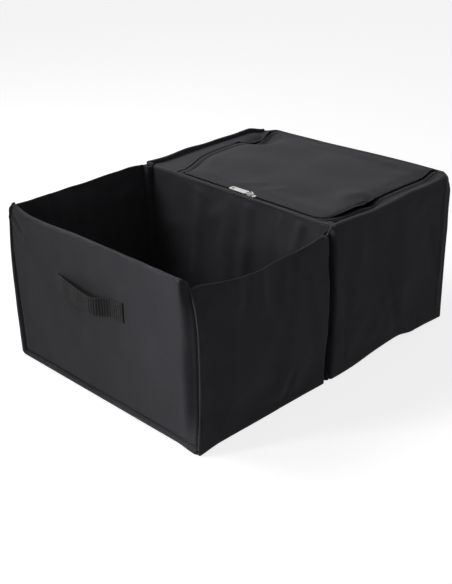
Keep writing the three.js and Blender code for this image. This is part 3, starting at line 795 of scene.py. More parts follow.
def make_corner_seams():
    """Narrow welt where the end panel meets a side wall. Its top bends into the panel's edge."""
    for label, side in SIDES:
        z = np.linspace(2.5 * MM, RIM - 3 * MM, 70)
        tuck = smooth_step(z, RIM - 14 * MM, RIM)
        x = side * (HALF_WIDTH - SEAM_IN - 3 * MM * tuck)
        line = np.stack([x, NEAR_END + SEAM_BACK + 0 * z, z], axis=1)
        radius = (1.7 * MM + 0.2 * MM * ripple(z, 0 * z, 5 + side, 30 * MM)) * (1 - 0.5 * tuck)
        piping(f"corner_seam_{label}", line, radius, f"corner_piping_{label}")


# Soft side walls of the open compartment
OPEN_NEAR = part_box("open_wall_right")[0].y
SIDE_TOPS = {"right": (262 * MM, 266 * MM, 12 * MM, 8 * MM), "left": (262 * MM, 266 * MM, 3 * MM, 0)}


def make_junction_ends():
    """Short end of the folded seam at the foot of each groove between the compartments."""
    lines = []
    for label, side in SIDES:
        middle = OPEN_FAR - 0.45 * GROOVE[label]
        lines.append(smooth_path([(side * (HALF_WIDTH - 10 * MM), middle, 15 * MM),
                                  (side * (HALF_WIDTH - 4 * MM), middle - 1 * MM, 9 * MM),
                                  (side * (HALF_WIDTH - 1 * MM), middle - 4 * MM, 3.9 * MM)], 20))
    radii = [2.6 * MM, 3.8 * MM * np.linspace(0.8, 1.0, 20)]
    obj = tube("junction_seam_ends", lines, radii)
    finish_piece(obj, TAPE)


def make_open_wall(label, side):
    """Double cloth, folded over at the top, rolled in where it meets the cooler."""
    near_level, far_level, sag, drop = SIDE_TOPS[label]
    inner = HALF_WIDTH - GROOVE_DEPTH
    end = OPEN_FAR - GROOVE[label]
    path = rounded_path([(HALF_WIDTH, NEAR_END + SEAM_BACK, 0), (HALF_WIDTH, end, ROLL),
                         (inner, end, 2.5 * MM), (inner, OPEN_FAR + 3 * MM, 0)])
    line = Line(path)
    turn = line.length - GROOVE_DEPTH - GROOVE[label] - 5 * MM
    along = np.concatenate([np.linspace(0, turn - 1 * MM, 76), np.linspace(turn, line.length, 38)])
    up = np.concatenate([np.linspace(0, 0.93, 54), np.linspace(0.94, 1.0, 12)])
    fold = np.linspace(0, math.pi, 9)[1:-1]
    depth = np.concatenate([np.zeros(len(up)), FOLD_DEPTH / 2 * (1 - np.cos(fold)),
                            np.full(len(up), FOLD_DEPTH)])
    share = np.concatenate([up, np.ones(len(fold)), up[::-1]])
    crown = np.concatenate([np.zeros(len(up)), FOLD_DEPTH / 2 * np.sin(fold), np.zeros(len(up))])
    s, q = np.meshgrid(along, share, indexing="ij")
    y = line.point(s)[..., 1]
    run = np.clip((y - OPEN_NEAR) / (OPEN_FAR - OPEN_NEAR), 0, 1)
    top = near_level + (far_level - near_level) * run - sag * np.sin(math.pi * run) - FOLD_DEPTH / 2
    top = top - drop * smooth_step(s, turn - 14 * MM, turn + 4 * MM)
    bottom = 0.6 * MM + 0.9 * MM * (1 + ripple(y, 0 * y, 21 + side, 40 * MM)) * np.sin(math.pi * run)
    z = bottom + (top - bottom) * q + crown[None, :]
    field = wrinkle_field(line.length, RIM, 0.016, 31 + side)
    free = np.maximum(np.sin(math.pi * run), 0) ** 0.5
    out = sample(field, s / line.length, z / RIM, cap=2.6 * MM)
    out = out + 0.6 * MM * ripple(y, z, 41 + side, 60 * MM) * free
    out += open_wall_folds(y, z) * free
    out *= 0.3 + 0.7 * smooth_step(z, 0, 30 * MM)
    turned = smooth_step(s, turn, turn + 10 * MM)
    offset = -out * (1 - turned) + depth[None, :]
    points = line.place(s, offset, z)
    points[..., 0] *= side
    shell_cloth(grid_object(f"open_wall_{label}_cloth", points, flip=side < 0), f"open_wall_{label}",
                flat=(line.length, 2 * far_level), held="hung",
                rests_on=[f"corner_seam_{label}", "cooler_near_cloth"])


def open_wall_folds(y, z):
    """Pleats under the top edge and slack near the bottom of an open wall."""
    return bump(y, z, (-0.150, 0.110), 70 * MM, 4.0 * MM) + creases(y, z, [
        ((-0.215, 0.252), (-0.212, 0.215), 5, 1.6), ((-0.196, 0.250), (-0.198, 0.200), 5, -1.5),
        ((-0.165, 0.250), (-0.160, 0.190), 8, 1.8), ((-0.100, 0.245), (-0.112, 0.150), 12, -1.8),
        ((-0.055, 0.200), (-0.030, 0.060), 12, 2.2), ((-0.120, 0.010), (-0.100, 0.050), 9, -1.8)])


def base_outline(inset):
    """Floor of the open compartment: right near corner cut, far corners round the grooves."""
    side = HALF_WIDTH - 1.2 * MM - inset
    near, far = PANEL_BACK - 1.2 * MM + inset, COOLER_NEAR + 0.4 * MM - inset
    waist = HALF_WIDTH - GROOVE_DEPTH - 1 * MM - inset
    right, left = (OPEN_FAR - GROOVE[label] - 1.2 * MM - inset for label in ("right", "left"))
    return [(-side, near), (side - RIGHT_FLANGE, near), (side, near + RIGHT_FLANGE * 0.6), (side, right),
            (waist, right), (waist, far), (-waist, far), (-waist, left), (-side, left)]


def make_open_base():
    """Floor cloth of the open compartment and its loose base board."""
    outline = base_outline(0)
    flat, faces, _ = cut_cloth(outline, step=9 * MM, rings=(2.0, 5.0))
    low, high = np.min(outline, axis=0), np.max(outline, axis=0)
    z = 0.9 * MM + 0.05 * MM * ripple(*flat.T, 51, 60 * MM)
    shell_cloth(laid_object("open_base_cloth", flat, z, faces), "open_base_fabric",
                flat=tuple(map(float, high - low)), held="laid", rests_on=["open_base_board"])
    flat, faces, edge = cut_cloth(base_outline(3 * MM), step=5 * MM, rings=(0.5, 1.0, 1.8, 3.0, 5.0))
    low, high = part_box("open_base_board")
    rounded = (high.z - low.z) / 2 * (1 - np.sqrt(1 - np.clip(1 - edge / (1.8 * MM), 0, 1) ** 2))
    z = high.z - rounded + 0.35 * MM * ripple(*flat.T, 52, 55 * MM) * smooth_step(edge, 0, 30 * MM) * 0.6
    obj = thicken(laid_object("open_base_board_cover", flat, z, faces), high.z - low.z - 0.6 * MM)
    finish_piece(obj, LINING, nodes=["open_base_board"])


# Cooler compartment's walls
def cooler_bottom(y, side):
    """Height of the cooler wall's lower edge."""
    return 0.6 * MM + (2 * MM * np.sin(math.pi * np.clip(y / 0.3, 0, 1)) ** 2 if side < 0 else 0 * y)


HEMS = {"left": (3.6 * MM, 1.8 * MM, 6 * MM), "right": (10 * MM, 4.5 * MM, 2 * MM)}


def make_cooler_wall(label, side):
    """Outer wall of the cooler, rolled in at the groove, with a standing hem on top."""
    far = FAR_END - 2.5 * MM
    path = rounded_path([(HALF_WIDTH - 17 * MM, COOLER_NEAR, 0),
                         (HALF_WIDTH - 1 * MM, COOLER_NEAR, COOLER_ROLL), (HALF_WIDTH, far, 0)], steps=14)
    line = Line(path)
    along = np.concatenate([np.linspace(0, 31 * MM, 32), np.linspace(32 * MM, line.length, 92)])
    up = np.concatenate([np.linspace(0, 0.93, 62), np.linspace(0.94, 1.0, 12)])
    hem_wide, hem_rise, hem_deep = HEMS[label]
    fold = np.linspace(0, math.pi, 15)[1:-1]
    down = np.linspace(0, 1, 7)
    depth = np.concatenate([np.zeros(len(up)), hem_wide / 2 * (1 - np.cos(fold)),
                            np.full(len(down), hem_wide)])
    share = np.concatenate([up, np.ones(len(fold)), np.ones(len(down))])
    crown = np.concatenate([np.zeros(len(up)), hem_rise * np.sin(fold), -hem_deep * down])
    s, q = np.meshgrid(along, share, indexing="ij")
    y = line.point(s)[..., 1]
    run = np.clip((y - COOLER_NEAR) / (far - COOLER_NEAR), 0, 1)
    top = RIM - hem_rise + 1.3 * MM * ripple(y, 0 * y, 61 + side, 48 * MM) * np.sin(math.pi * run)
    bottom = cooler_bottom(y, side)
    z = bottom + (top - bottom) * q + crown[None, :]
    field = wrinkle_field(line.length, RIM, 0.014, 71 + side)
    free = np.maximum(np.sin(math.pi * run), 0) ** 0.5
    out = sample(field, s / line.length, z / RIM, cap=1.8 * MM)
    out = out + 0.5 * MM * ripple(y, z, 81 + side, 60 * MM) * free
    out = soft_floor(out + cooler_wall_folds(y, z) * free + 0.4 * MM, -0.3 * MM, 0.6 * MM) - 0.1 * MM
    out -= 0.9 * MM * ridge(top - z - 5 * MM, 1.1 * MM)
    out += 1.5 * MM * ridge(y - far + 15 * MM, 4 * MM) * smooth_step(z, 6 * MM, 40 * MM)
    hemmed = smooth_step(top - z, 0, 12 * MM)
    points = line.place(s, -out * (0.25 + 0.75 * hemmed) + depth[None, :], z)
    points[..., 0] *= side
    shell_cloth(grid_object(f"cooler_wall_{label}_cloth", points, flip=side > 0), f"cooler_wall_{label}",
                flat=(line.length, RIM + hem_wide + hem_deep), held="hung",
                rests_on=[f"foam_{label}_pad", f"back_corner_seam_{label}"])
    hem_row = int(np.argmin(np.abs(share[:len(up)] - (1 - 5 * MM / RIM))))
    stitches(f"cooler_wall_{label}_stitching", [points[4:-2, hem_row] + [side * 0.15 * MM, 0, 0]])


def cooler_wall_folds(y, z):
    """Creases and slack of a cooler wall."""
    return bump(y, z, (0.150, 0.130), (90 * MM, 80 * MM), 2.5 * MM) + creases(y, z, [
        ((0.165, 0.015), (0.150, 0.080), 12, -2.4), ((0.060, 0.230), (0.045, 0.120), 16, 1.8),
        ((0.235, 0.225), (0.262, 0.110), 14, -1.8), ((0.020, 0.200), (0.024, 0.040), 8, -1.6)])


def make_near_panel():
    """Wall between the compartments, with soft upright folds."""
    half = NEAR_REACH + 1 * MM
    x, z = np.meshgrid(np.linspace(-half, half, 150), np.linspace(0.5 * MM, TOP_PLANE + 1.0 * MM, 90),
                       indexing="ij")
    field = wrinkle_field(2 * half, TOP_PLANE, 0.016, 91)
    share = (x + half) / (2 * half)
    free = np.maximum(np.sin(math.pi * share), 0) ** 0.6 * smooth_step(TOP_PLANE - z, 0, 15 * MM)
    out = sample(field, share, z / TOP_PLANE, cap=1.6 * MM)
    out = out + free * (0.8 * MM * ripple(x, z * 0.35, 92, 45 * MM) + near_panel_folds(x, z))
    y = COOLER_NEAR - soft_floor(out, -0.3 * MM)
    shell_cloth(grid_object("cooler_near_cloth", np.stack([x, y, z], axis=2)), "cooler_near_panel",
                flat=(2 * half, TOP_PLANE), held="hung", rests_on=["near_top_piping_roll"])


def near_panel_folds(x, z):
    """Upright folds of the wall between the compartments."""
    return creases(x, z, [
        ((0.150, 0.250), (0.120, 0.140), 12, 4.5), ((0.175, 0.245), (0.165, 0.120), 9, -3.0),
        ((0.090, 0.250), (0.100, 0.150), 12, -3.0), ((0.040, 0.250), (0.020, 0.120), 16, 3.0),
        ((-0.080, 0.250), (-0.100, 0.090), 18, 3.3)])


def make_back_panel():
    """Back panel's cloth with two slits for the handle."""
    reach = BACK_REACH + 1 * MM
    slits = slit_holes(-SLIT_X, SLIT_HALF_WIDTH, [(HANDLE_MIDDLE - SLIT_REACH, HANDLE_MIDDLE + SLIT_REACH)])
    flat, faces, _ = cut_cloth(rectangle(-reach, reach, 0.5 * MM, TOP_PLANE), slits, step=5 * MM,
                               rings=(0.8, 1.6, 2.4, 3.2, 4.2, 5.4, 6.5, 7.6, 9.5))
    x, z = flat.T
    from_side = reach - np.abs(x)
    edge = np.minimum(from_side, z)
    relief = 0.8 * MM * ridge(edge - 3.2 * MM, 1.7 * MM)
    relief -= 1.2 * MM * ridge(edge - PANEL_EDGE, 1.1 * MM)
    face = smooth_step(edge, PANEL_EDGE, PANEL_EDGE + 16 * MM) * smooth_step(TOP_PLANE - z, 0, 12 * MM)
    relief += face * (0.5 * MM * ripple(x, z, 101, 65 * MM) + 0.15 * MM * ripple(x, z, 102, 22 * MM))
    lean = 1.9 * MM * smooth_step(z, TOP_PLANE - 24 * MM, TOP_PLANE - 8 * MM)
    points = np.stack([x, FAR_END + relief - lean, z], axis=1)
    shell_cloth(new_object("cooler_back_cloth", points, faces[:, ::-1], flat), "cooler_back_panel",
                flat=(2 * reach, TOP_PLANE), held="stretched", rests_on=["back_stiffener"])


def make_back_corner_seams():
    for label, side in SIDES:
        z = np.linspace(1 * MM, TOP_PLANE + 1 * MM, 60)
        bow = 0.5 * MM * np.sin(2 * math.pi * z / RIM)
        line = np.stack([side * (HALF_WIDTH - 2.5 * MM + bow), FAR_END - 2.5 * MM + 0 * z, z], axis=1)
        radius = 2.5 * MM + 0.2 * MM * ripple(z, 0 * z, 111 + side, 30 * MM)
        piping(f"back_corner_seam_{label}", line, radius, f"back_corner_piping_{label}")


# Top of the cooler: zip line, border, lid
ZIP_LEFT_RADIUS = 42 * MM
ZIP_RIGHT_RADIUS = 27 * MM
zip_line = Line(rounded_path([(ZIP_LEFT, ZIP_FAR, 0), (ZIP_LEFT, ZIP_NEAR, ZIP_LEFT_RADIUS),
                              (ZIP_RIGHT, ZIP_NEAR, ZIP_RIGHT_RADIUS), (ZIP_RIGHT, ZIP_FAR, 0)], steps=14))


def top_sag(x, y):
    """Height that the whole top of the cooler gains or loses at a place, zip included."""
    shape = bumps(x, y, [((-0.166, 0.242), 30, 31, -17.0), ((0.187, 0.122), 15, 14, -5.0),
                         ((0.0, 0.150), 130, 110, 1.5)])
    shape += 0.5 * MM * ripple(x, y, 121, 90 * MM)
    edge = np.minimum(np.minimum(HALF_WIDTH - np.abs(x), y - COOLER_NEAR), FAR_END - y)
    return shape * smooth_step(edge, 4 * MM, 34 * MM)


def near_half(y):
    """1 on the near half of the cooler and 0 on the far half."""
    return 1 - smooth_step(y, 0.105, 0.150)


def zip_sink(x, y):
    """How far the zip lies below the lid's edge on its right leg."""
    return (1.0 + 4.0 * near_half(y)) * MM * smooth_step(x, 0.150, 0.182) * smooth_step(y, 0.015, 0.060)


def zip_offset(distance, far=None):
    """Plan line beside the zip line. Where a far y is given, its two ends lie there."""
    s = np.arange(0, zip_line.length + 1.5 * MM, 3 * MM)
    s = np.append(s[s < zip_line.length - 1.5 * MM], zip_line.length)
    line = zip_line.point(s) + zip_line.normal(s) * distance
    if far is not None:
        line[[0, -1], 1] = far
    return line


def make_border():
    """Cloth between the walls and the zip."""
    outer = HALF_WIDTH - 1.4 * MM
    near = COOLER_NEAR + 1.2 * MM
    far = HINGE_HIGH.y - 1.5 * MM
    inner = zip_offset(-CHANNEL, far)
    rim = rounded_path([(-outer, far, 0), (-outer, near, COOLER_ROLL - MM), (outer, near, COOLER_ROLL - MM),
                        (outer, far, 0)], steps=8)
    outline = np.vstack([rim, inner[::-1]])
    flat, faces, _ = cut_cloth(outline, step=4 * MM, rings=(0.8, 1.6, 2.6, 3.8, 5.4, 7.4))
    x, y = flat.T
    from_zip = distance_to(flat, inner, closed=False)
    z = TOP_PLANE + top_sag(x, y)
    z += 0.7 * MM * ridge(from_zip - 1.0 * MM, 1.3 * MM)
    z -= 0.5 * MM * ridge(from_zip - 3.6 * MM, 0.8 * MM)
    z -= border_folds(x, y)
    rim = smooth_step(y, far - 7 * MM, far)
    z = np.where(rim > 0, np.maximum(z, TOP_PLANE - 1 * MM + 2.6 * MM * rim), z)
    shell_cloth(laid_object("top_border_cloth", flat, z, faces), "top_border",
                flat=(2 * (far - near) + 2 * outer, outer + ZIP_LEFT), area=float(polygon_area(outline)),
                held="stretched", rests_on=["cooler_wall_left_cloth", "cooler_wall_right_cloth"])


def polygon_area(outline):
    x, y = np.array(outline).T
    return abs(np.sum(x * np.roll(y, -1) - y * np.roll(x, -1))) / 2


def border_folds(x, y):
    """How far the border lies low: a trough inside the left hem, a valley at the right zip."""
    inside_ends = smooth_step(y, 0.0, 0.03) * smooth_step(FAR_END - y, 0.004, 0.03)
    shape = 2.2 * MM * ridge(x + 0.211, 11 * MM) * inside_ends
    right = smooth_step(x, 0.150, 0.190) * smooth_step(y, 0.004, 0.03)
    valley = (1.2 + 6.3 * near_half(y)) * MM * np.exp(-((x - 0.197) / (8 * MM)) ** 4)
    shape += right * (valley - 2.0 * MM * smooth_step(x, 0.206, 0.213))
    return shape + creases(x, y, [((-0.206, 0.282), (-0.178, 0.250), 6, 3.0),
                                  ((-0.190, 0.288), (-0.170, 0.262), 5, -2.5),
                                  ((-0.205, 0.180), (-0.182, 0.196), 6, -2.0)])


def under_top(x, y):
    """Highest level that hidden pieces may reach below the border."""
    return TOP_PLANE + top_sag(x, y) - border_folds(x, y) - 3.5 * MM


def lid_height(x, y, from_edge):
    """Padded lid: it rises behind its folded edge, with shallow dimples."""
    z = TOP_PLANE + 0.6 * MM + top_sag(x, y)
    z += 2.8 * MM * smooth_step(from_edge, 3 * MM, 28 * MM)
    z += (0.8 + 3.2 * near_half(y)) * MM * smooth_step(x, 0.120, 0.175) * smooth_step(y, 0.010, 0.045)
    z += 1.0 * MM * ridge(from_edge - 1.2 * MM, 1.4 * MM)
    z -= 0.9 * MM * ridge(from_edge - 4.2 * MM, 1.0 * MM)
    soft = smooth_step(from_edge, 6 * MM, 30 * MM)
    z += soft * (0.8 * MM * ripple(x, y, 131, 50 * MM) + lid_dimples(x, y))
    return z


def lid_dimples(x, y):
    """Shallow dimples and swells of the lid, and two creases at its near edge."""
    return bumps(x, y, [
        ((0.090, 0.060), 26, 20, -2.52), ((0.150, 0.110), 20, 26, 2.24), ((0.160, 0.060), 18, 20, -1.96),
        ((-0.080, 0.110), 60, 50, 1.68), ((0.060, 0.200), 70, 50, 1.40),
    ]) + creases(x, y, [((-0.02, 0.030), (0.010, 0.055), 9, 1.12), ((0.03, 0.026), (0.050, 0.060), 9, 1.12)])


def make_lid():
    """Outer fabric of the lid, with a row of stitches behind its edge."""
    edge_line = zip_offset(CHANNEL, LID_FAR)
    flat, faces, _ = cut_cloth(edge_line[::-1], step=4 * MM, rings=(0.7, 1.4, 2.2, 3.2, 4.2, 5.2, 6.6, 8.6))
    x, y = flat.T
    from_edge = np.minimum(distance_to(flat, edge_line, closed=False), (LID_FAR - y) + 2 * MM)
    low, size = flat.min(0), flat.max(0) - flat.min(0)
    field = wrinkle_field(*size, 0.012, 141)
    z = lid_height(x, y, from_edge)
    z += sample(field, *((flat - low) / size).T, cap=0.9 * MM) * smooth_step(from_edge, 2 * MM, 18 * MM)
    shell_cloth(laid_object("lid_cloth", flat, z, faces), "lid_fabric", "lid",
                flat=tuple(map(float, size)), held="stretched", rests_on=["lid_pad"])
    stitch = zip_offset(CHANNEL + 4.2 * MM)
    level = lid_height(*stitch.T, np.full(len(stitch), 4.2 * MM)) + 0.1 * MM
    stitches("lid_stitching", [np.column_stack([stitch, level])], "lid")


def slab(name, outline, low, high, thin, material, body, node, holes=(), bow=None, step=8 * MM):
    """Solid sheet of foam or board with rounded edges, thin along one axis, bowed along it."""
    flat, faces, edge = cut_cloth(outline, holes, step=step, edge_step=6 * MM, rings=(0.5, 1.2, 2.5, 5.0))
    half = (high - low) / 2
    radius = 0.9 * half
    bend = radius * (1 - np.sqrt(1 - np.clip(1 - edge / radius, 0, 1) ** 2)) * 0.9
    shift = 0 if bow is None else bow(*flat.T)
    axes = [k for k in range(3) if k != thin]
    layers = []
    for level, sign in ((high, -1), (low, 1)):
        points = np.zeros((len(flat), 3))
        points[:, axes] = flat
        points[:, thin] = level + sign * np.minimum(bend, half * 0.9) + shift
        layers.append(points)
    n = len(flat)
    sides = []
    for rim in boundary_loops(faces):
        sides += [(rim[k], rim[k - 1], rim[k - 1] + n, rim[k] + n) for k in range(len(rim))]
    sheets = [tuple(f) for f in faces] + [tuple(f[::-1] + n) for f in faces] + sides
    obj = new_object(name, np.vstack(layers), sheets, np.vstack([flat, flat]))
    turned_out(obj)
    return finish_piece(obj, material, body, [node])


def make_lid_underside():
    """Lid's foam pad and the film below it."""
    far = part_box("lid_foam")[1].y
    low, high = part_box("lid_foam")
    pad = slab("lid_pad", zip_offset(14 * MM, far)[::-1], low.z, high.z, 2, FOAM, "lid", "lid_foam",
               bow=lambda x, y: top_sag(x, y) + 0.2 * MM * ripple(x, y, 151, 50 * MM))
    outline = zip_offset(12.5 * MM, far + 1 * MM)[::-1]
    flat, faces, edge = cut_cloth(outline, step=6 * MM, rings=(1.0, 2.5, 4.0, 6.0, 9.0))
    x, y = flat.T
    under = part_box("lid_lining")[1].z
    z = under - 0.6 * MM + 4.2 * MM * ridge(edge, 3.5 * MM) + top_sag(x, y)
    z -= 0.5 * MM * ridge(edge - 6 * MM, 2.0 * MM)
    z -= 0.5 * MM * np.abs(ripple(x, y, 152, 35 * MM)) * smooth_step(edge, 5 * MM, 25 * MM)
    obj = new_object("lid_film", np.column_stack([flat, z]), faces[:, ::-1], flat)
    thicken(obj, 0.5 * MM)
    finish_piece(obj, FILM, "lid", ["lid_lining"])


COIL_PITCH = 1.55 * MM
# outline of a coil turn: distance from the zip line and height, in millimetres
COIL_TURN = [(0.1, 0.0), (0.5, 0.62), (1.6, 0.70), (2.6, 0.35), (2.75, 0.0), (2.6, -0.35), (1.6, -0.55),
             (0.5, -0.5)]


def make_zip():
    """Woven tape and coil on each side of the zip line."""
    coil_middle = (COIL_TOP + TAPE_TOP + 0.3 * MM) / 2
    for label, side, body in (("border", -1, "root"), ("lid", 1, "lid")):
        s = np.linspace(0, zip_line.length, 420)
        across = np.array([0.7, 1.4, 2.4, 3.4, 4.6, 6.4, 8.0]) * MM
        along, off = np.meshgrid(s, across * side, indexing="ij")
        plan = zip_line.point(along)
        sag = top_sag(plan[..., 0], plan[..., 1]) - zip_sink(plan[..., 0], plan[..., 1])
        z = TAPE_TOP + sag + 0.15 * MM * np.sin(np.abs(off) * 2000)
        points = zip_line.place(along, off, z)
        obj = grid_object(f"zip_tape_{label}_band", points, flip=side < 0)
        thicken(obj, 0.6 * MM)
        finish_piece(obj, TAPE, body, [f"zip_tape_{label}"])
        teeth(label, side, body, coil_middle)


def teeth(label, side, body, middle):
    """Turns of the coil on one side of the zip, each a short bar across the tape."""
    count = int(zip_line.length / COIL_PITCH)
    points, faces = [], []
    for k in range(count):
        s = (k + (0.25 if side > 0 else 0.75)) * zip_line.length / count
        centre = zip_line.point(s)
        aside = zip_line.normal(s) * side
        forward = np.array([aside[1], -aside[0]])
        level = middle + float(top_sag(*centre) - zip_sink(*centre))
        faces += bar_faces(len(points), 4, len(COIL_TURN))
        for end, slim in ((-0.42, 0.8), (-0.2, 1.0), (0.2, 1.0), (0.42, 0.8)):
            for off, up in COIL_TURN:
                plan = centre + aside * (1.4 + (off - 1.4) * slim) * MM + forward * end * MM
                points.append((plan[0], plan[1], level + up * slim * MM))
    obj = new_object(f"zip_coil_{label}_teeth", points, faces)
    finish_piece(obj, COIL, body, [f"zip_coil_{label}"])


def make_top_pipings():
    """Piping along the near top edge, its ends split over the groove, and piping along the hinge."""
    low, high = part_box("near_top_piping")
    y, z = (low.y + high.y) / 2, (low.z + high.z) / 2 - 0.9 * MM
    x = np.linspace(-NEAR_REACH, NEAR_REACH, 180)
    wobble = 0.5 * MM * ripple(x, 0 * x, 161, 60 * MM)
    lines = [np.stack([x, y + wobble * 0.8, z + wobble * 0.5], axis=1)]
    radii = [1.5 * MM + 0.15 * MM * ripple(x, 0 * x, 162, 25 * MM)]
    for label, side in SIDES:
        wall_end = OPEN_FAR - GROOVE[label]
        wall_top = SIDE_TOPS[label][1] - SIDE_TOPS[label][3]
        to_open_wall = [(NEAR_REACH - 4 * MM, y, z), (NEAR_REACH + 3 * MM, y - 1 * MM, z),
                        (NEAR_REACH + 7 * MM, (y + wall_end) / 2, z - 1 * MM),
                        (HALF_WIDTH - 4 * MM, wall_end - 3 * MM, wall_top - 1.5 * MM)]
        to_cooler_wall = [(NEAR_REACH - 3 * MM, y + 0.5 * MM, z),
                          (NEAR_REACH + 4 * MM, y + 2 * MM, z + 0.5 * MM),
                          (HALF_WIDTH - 4 * MM, COOLER_NEAR + 3 * MM, z + 0.5 * MM),
                          (HALF_WIDTH - 2 * MM, COOLER_NEAR + 10 * MM, z)]
        for fork in (to_open_wall, to_cooler_wall):
            line = smooth_path(np.array(fork) * [side, 1, 1], 24)
            lines.append(line)
            radii.append(np.linspace(1.7, 1.3, len(line)) * MM)
    obj = tube("near_top_piping_roll", lines, radii)
    finish_piece(obj, PIPING, nodes=["near_top_piping"])
    x = np.linspace(HINGE_LOW.x, HINGE_HIGH.x, 160)
    middle = (HINGE_LOW + HINGE_HIGH) / 2
    level = middle.z - 0.5 * MM + 0.3 * MM * ripple(x, 0 * x, 163, 60 * MM)
    piping("hinge_piping_roll", np.stack([x, middle.y + 0 * x, level], axis=1), 1.4 * MM, "hinge_piping")


def make_hinge_strip():
    """Cloth that bends from the back seam into the lid."""
    half = ZIP_RIGHT - CHANNEL
    left = ZIP_LEFT + CHANNEL
    y = np.linspace(HINGE_HIGH.y - 0.4 * MM, LID_FAR - 9 * MM, 14)
    x, yy = np.meshgrid(np.linspace(left, half, 120), y, indexing="ij")
    rise = 1.5 * MM * np.sin(math.pi * np.clip((HINGE_HIGH.y - yy) / (4 * MM), 0, 1)) * 0.6
    z = TOP_PLANE + 1.9 * MM + rise - 0.8 * MM * smooth_step(HINGE_HIGH.y - yy, 0, 10 * MM)
    obj = thicken(grid_object("lid_hinge_cloth", np.stack([x, yy, z], axis=2), flip=True), 0.6 * MM)
    finish_piece(obj, FABRIC, body=None)
    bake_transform(obj)


# Webbing handles
HANDLE_DROOP = 3 * MM


def make_handle(name, node, outward, wall_outer, wall_inner, centre, stitched_side):
    """Webbing through two slits, one end stitched flat outside the panel, the middle bowed out."""
    low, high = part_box(node)
    bow = (abs(low.y if outward < 0 else high.y) - abs(wall_outer)) - 1 * MM
    half = SLIT_HALF_SPAN
    inside_y = wall_inner - outward * 1.3 * MM
    flat_y = wall_outer + outward * 1.6 * MM
    plan = [(-half - 24 * MM, inside_y), (-half - 4 * MM, inside_y), (-half, inside_y + outward * 1.5 * MM),
            (-half, wall_outer + outward * 0.6 * MM), (-half + 3 * MM, wall_outer + outward * 2.4 * MM)]
    shares, rises = (0.06, 0.19, 0.43, 0.60, 0.68, 0.76, 0.83), (0.12, 0.38, 0.70, 0.86, 0.72, 0.28, 0.05)
    for t in np.linspace(0.06, 0.83, 20):
        plan.append((-half + 2 * half * t, flat_y + outward * bow * 0.92 * np.interp(t, shares, rises)))
    plan += [(half - 20 * MM, flat_y + outward * 1.0 * MM), (half - 14 * MM, flat_y),
             (half - 4 * MM, flat_y), (half - 0.4 * MM, flat_y - outward * 1.0 * MM),
             (half, inside_y + outward * 1.5 * MM),
             (half + 4 * MM, inside_y), (half + 24 * MM, inside_y)]
    plan = np.array(plan)
    if stitched_side < 0:
        plan = plan[::-1] * [-1, 1]
    curve = smooth_path(plan, 420)
    out = np.abs(curve[:, 1] - wall_outer) * (np.abs(curve[:, 0]) < half)
    bowed = np.clip(out / bow, 0, 1)
    across = np.concatenate([np.linspace(-1, -0.9, 4), np.linspace(-0.8, 0.8, 13), np.linspace(0.9, 1, 4)])
    tangent = np.gradient(curve, axis=0)
    tangent /= np.linalg.norm(tangent, axis=1)[:, None]
    normal = np.stack([tangent[:, 1], -tangent[:, 0]], axis=1) * -outward
    cup = 1.2 * MM * bowed
    points = np.zeros((len(curve), len(across), 3))
    ribs = 0.45 * MM * np.sin(2 * math.pi * lengths_along(curve) / RIB_PITCH)
    for j, q in enumerate(across):
        off = cup * (1 - q * q) + ribs - 0.35 * MM * (abs(q) > 0.93)
        points[:, j, 0] = centre + curve[:, 0] + normal[:, 0] * off
        points[:, j, 1] = curve[:, 1] + normal[:, 1] * off
        points[:, j, 2] = HANDLE_MIDDLE - HANDLE_DROOP * bowed + q * WEBBING_WIDTH / 2
    obj = grid_object(name, points, flip=outward > 0)
    thicken(obj, 1.5 * MM, offset=0.0)
    finish_piece(obj, WEBBING, nodes=[node])
    x0, x1 = centre + stitched_side * (half - 16 * MM), centre + stitched_side * (half - 3 * MM)
    z0, z1 = HANDLE_MIDDLE - WEBBING_WIDTH / 2 + 3 * MM, HANDLE_MIDDLE + WEBBING_WIDTH / 2 - 3 * MM
    face = flat_y + outward * 1.1 * MM
    a, b, c, d = [(x, face, z) for x, z in rectangle(x0, x1, z0, z1)]
    stitches(f"{name}_stitching", [(a, b), (b, c), (c, d), (d, a), (a, c), (d, b)])


def smooth_path(points, count):
    """Smooth curve near the given points, from the first to the last."""
    points = np.vstack([points[:1], points, points[-1:]])
    for _ in range(3):
        fine = []
        for a, b in zip(points[:-1], points[1:]):
            fine += [a * 0.75 + b * 0.25, a * 0.25 + b * 0.75]
        points = np.vstack([points[:1], fine, points[-1:]])
    at = lengths_along(points)
    keep = np.concatenate([[True], np.diff(at) > 1e-9])
    s = np.linspace(0, at[-1], count)
    return np.stack([np.interp(s, at[keep], points[keep, k]) for k in range(points.shape[1])], axis=1)


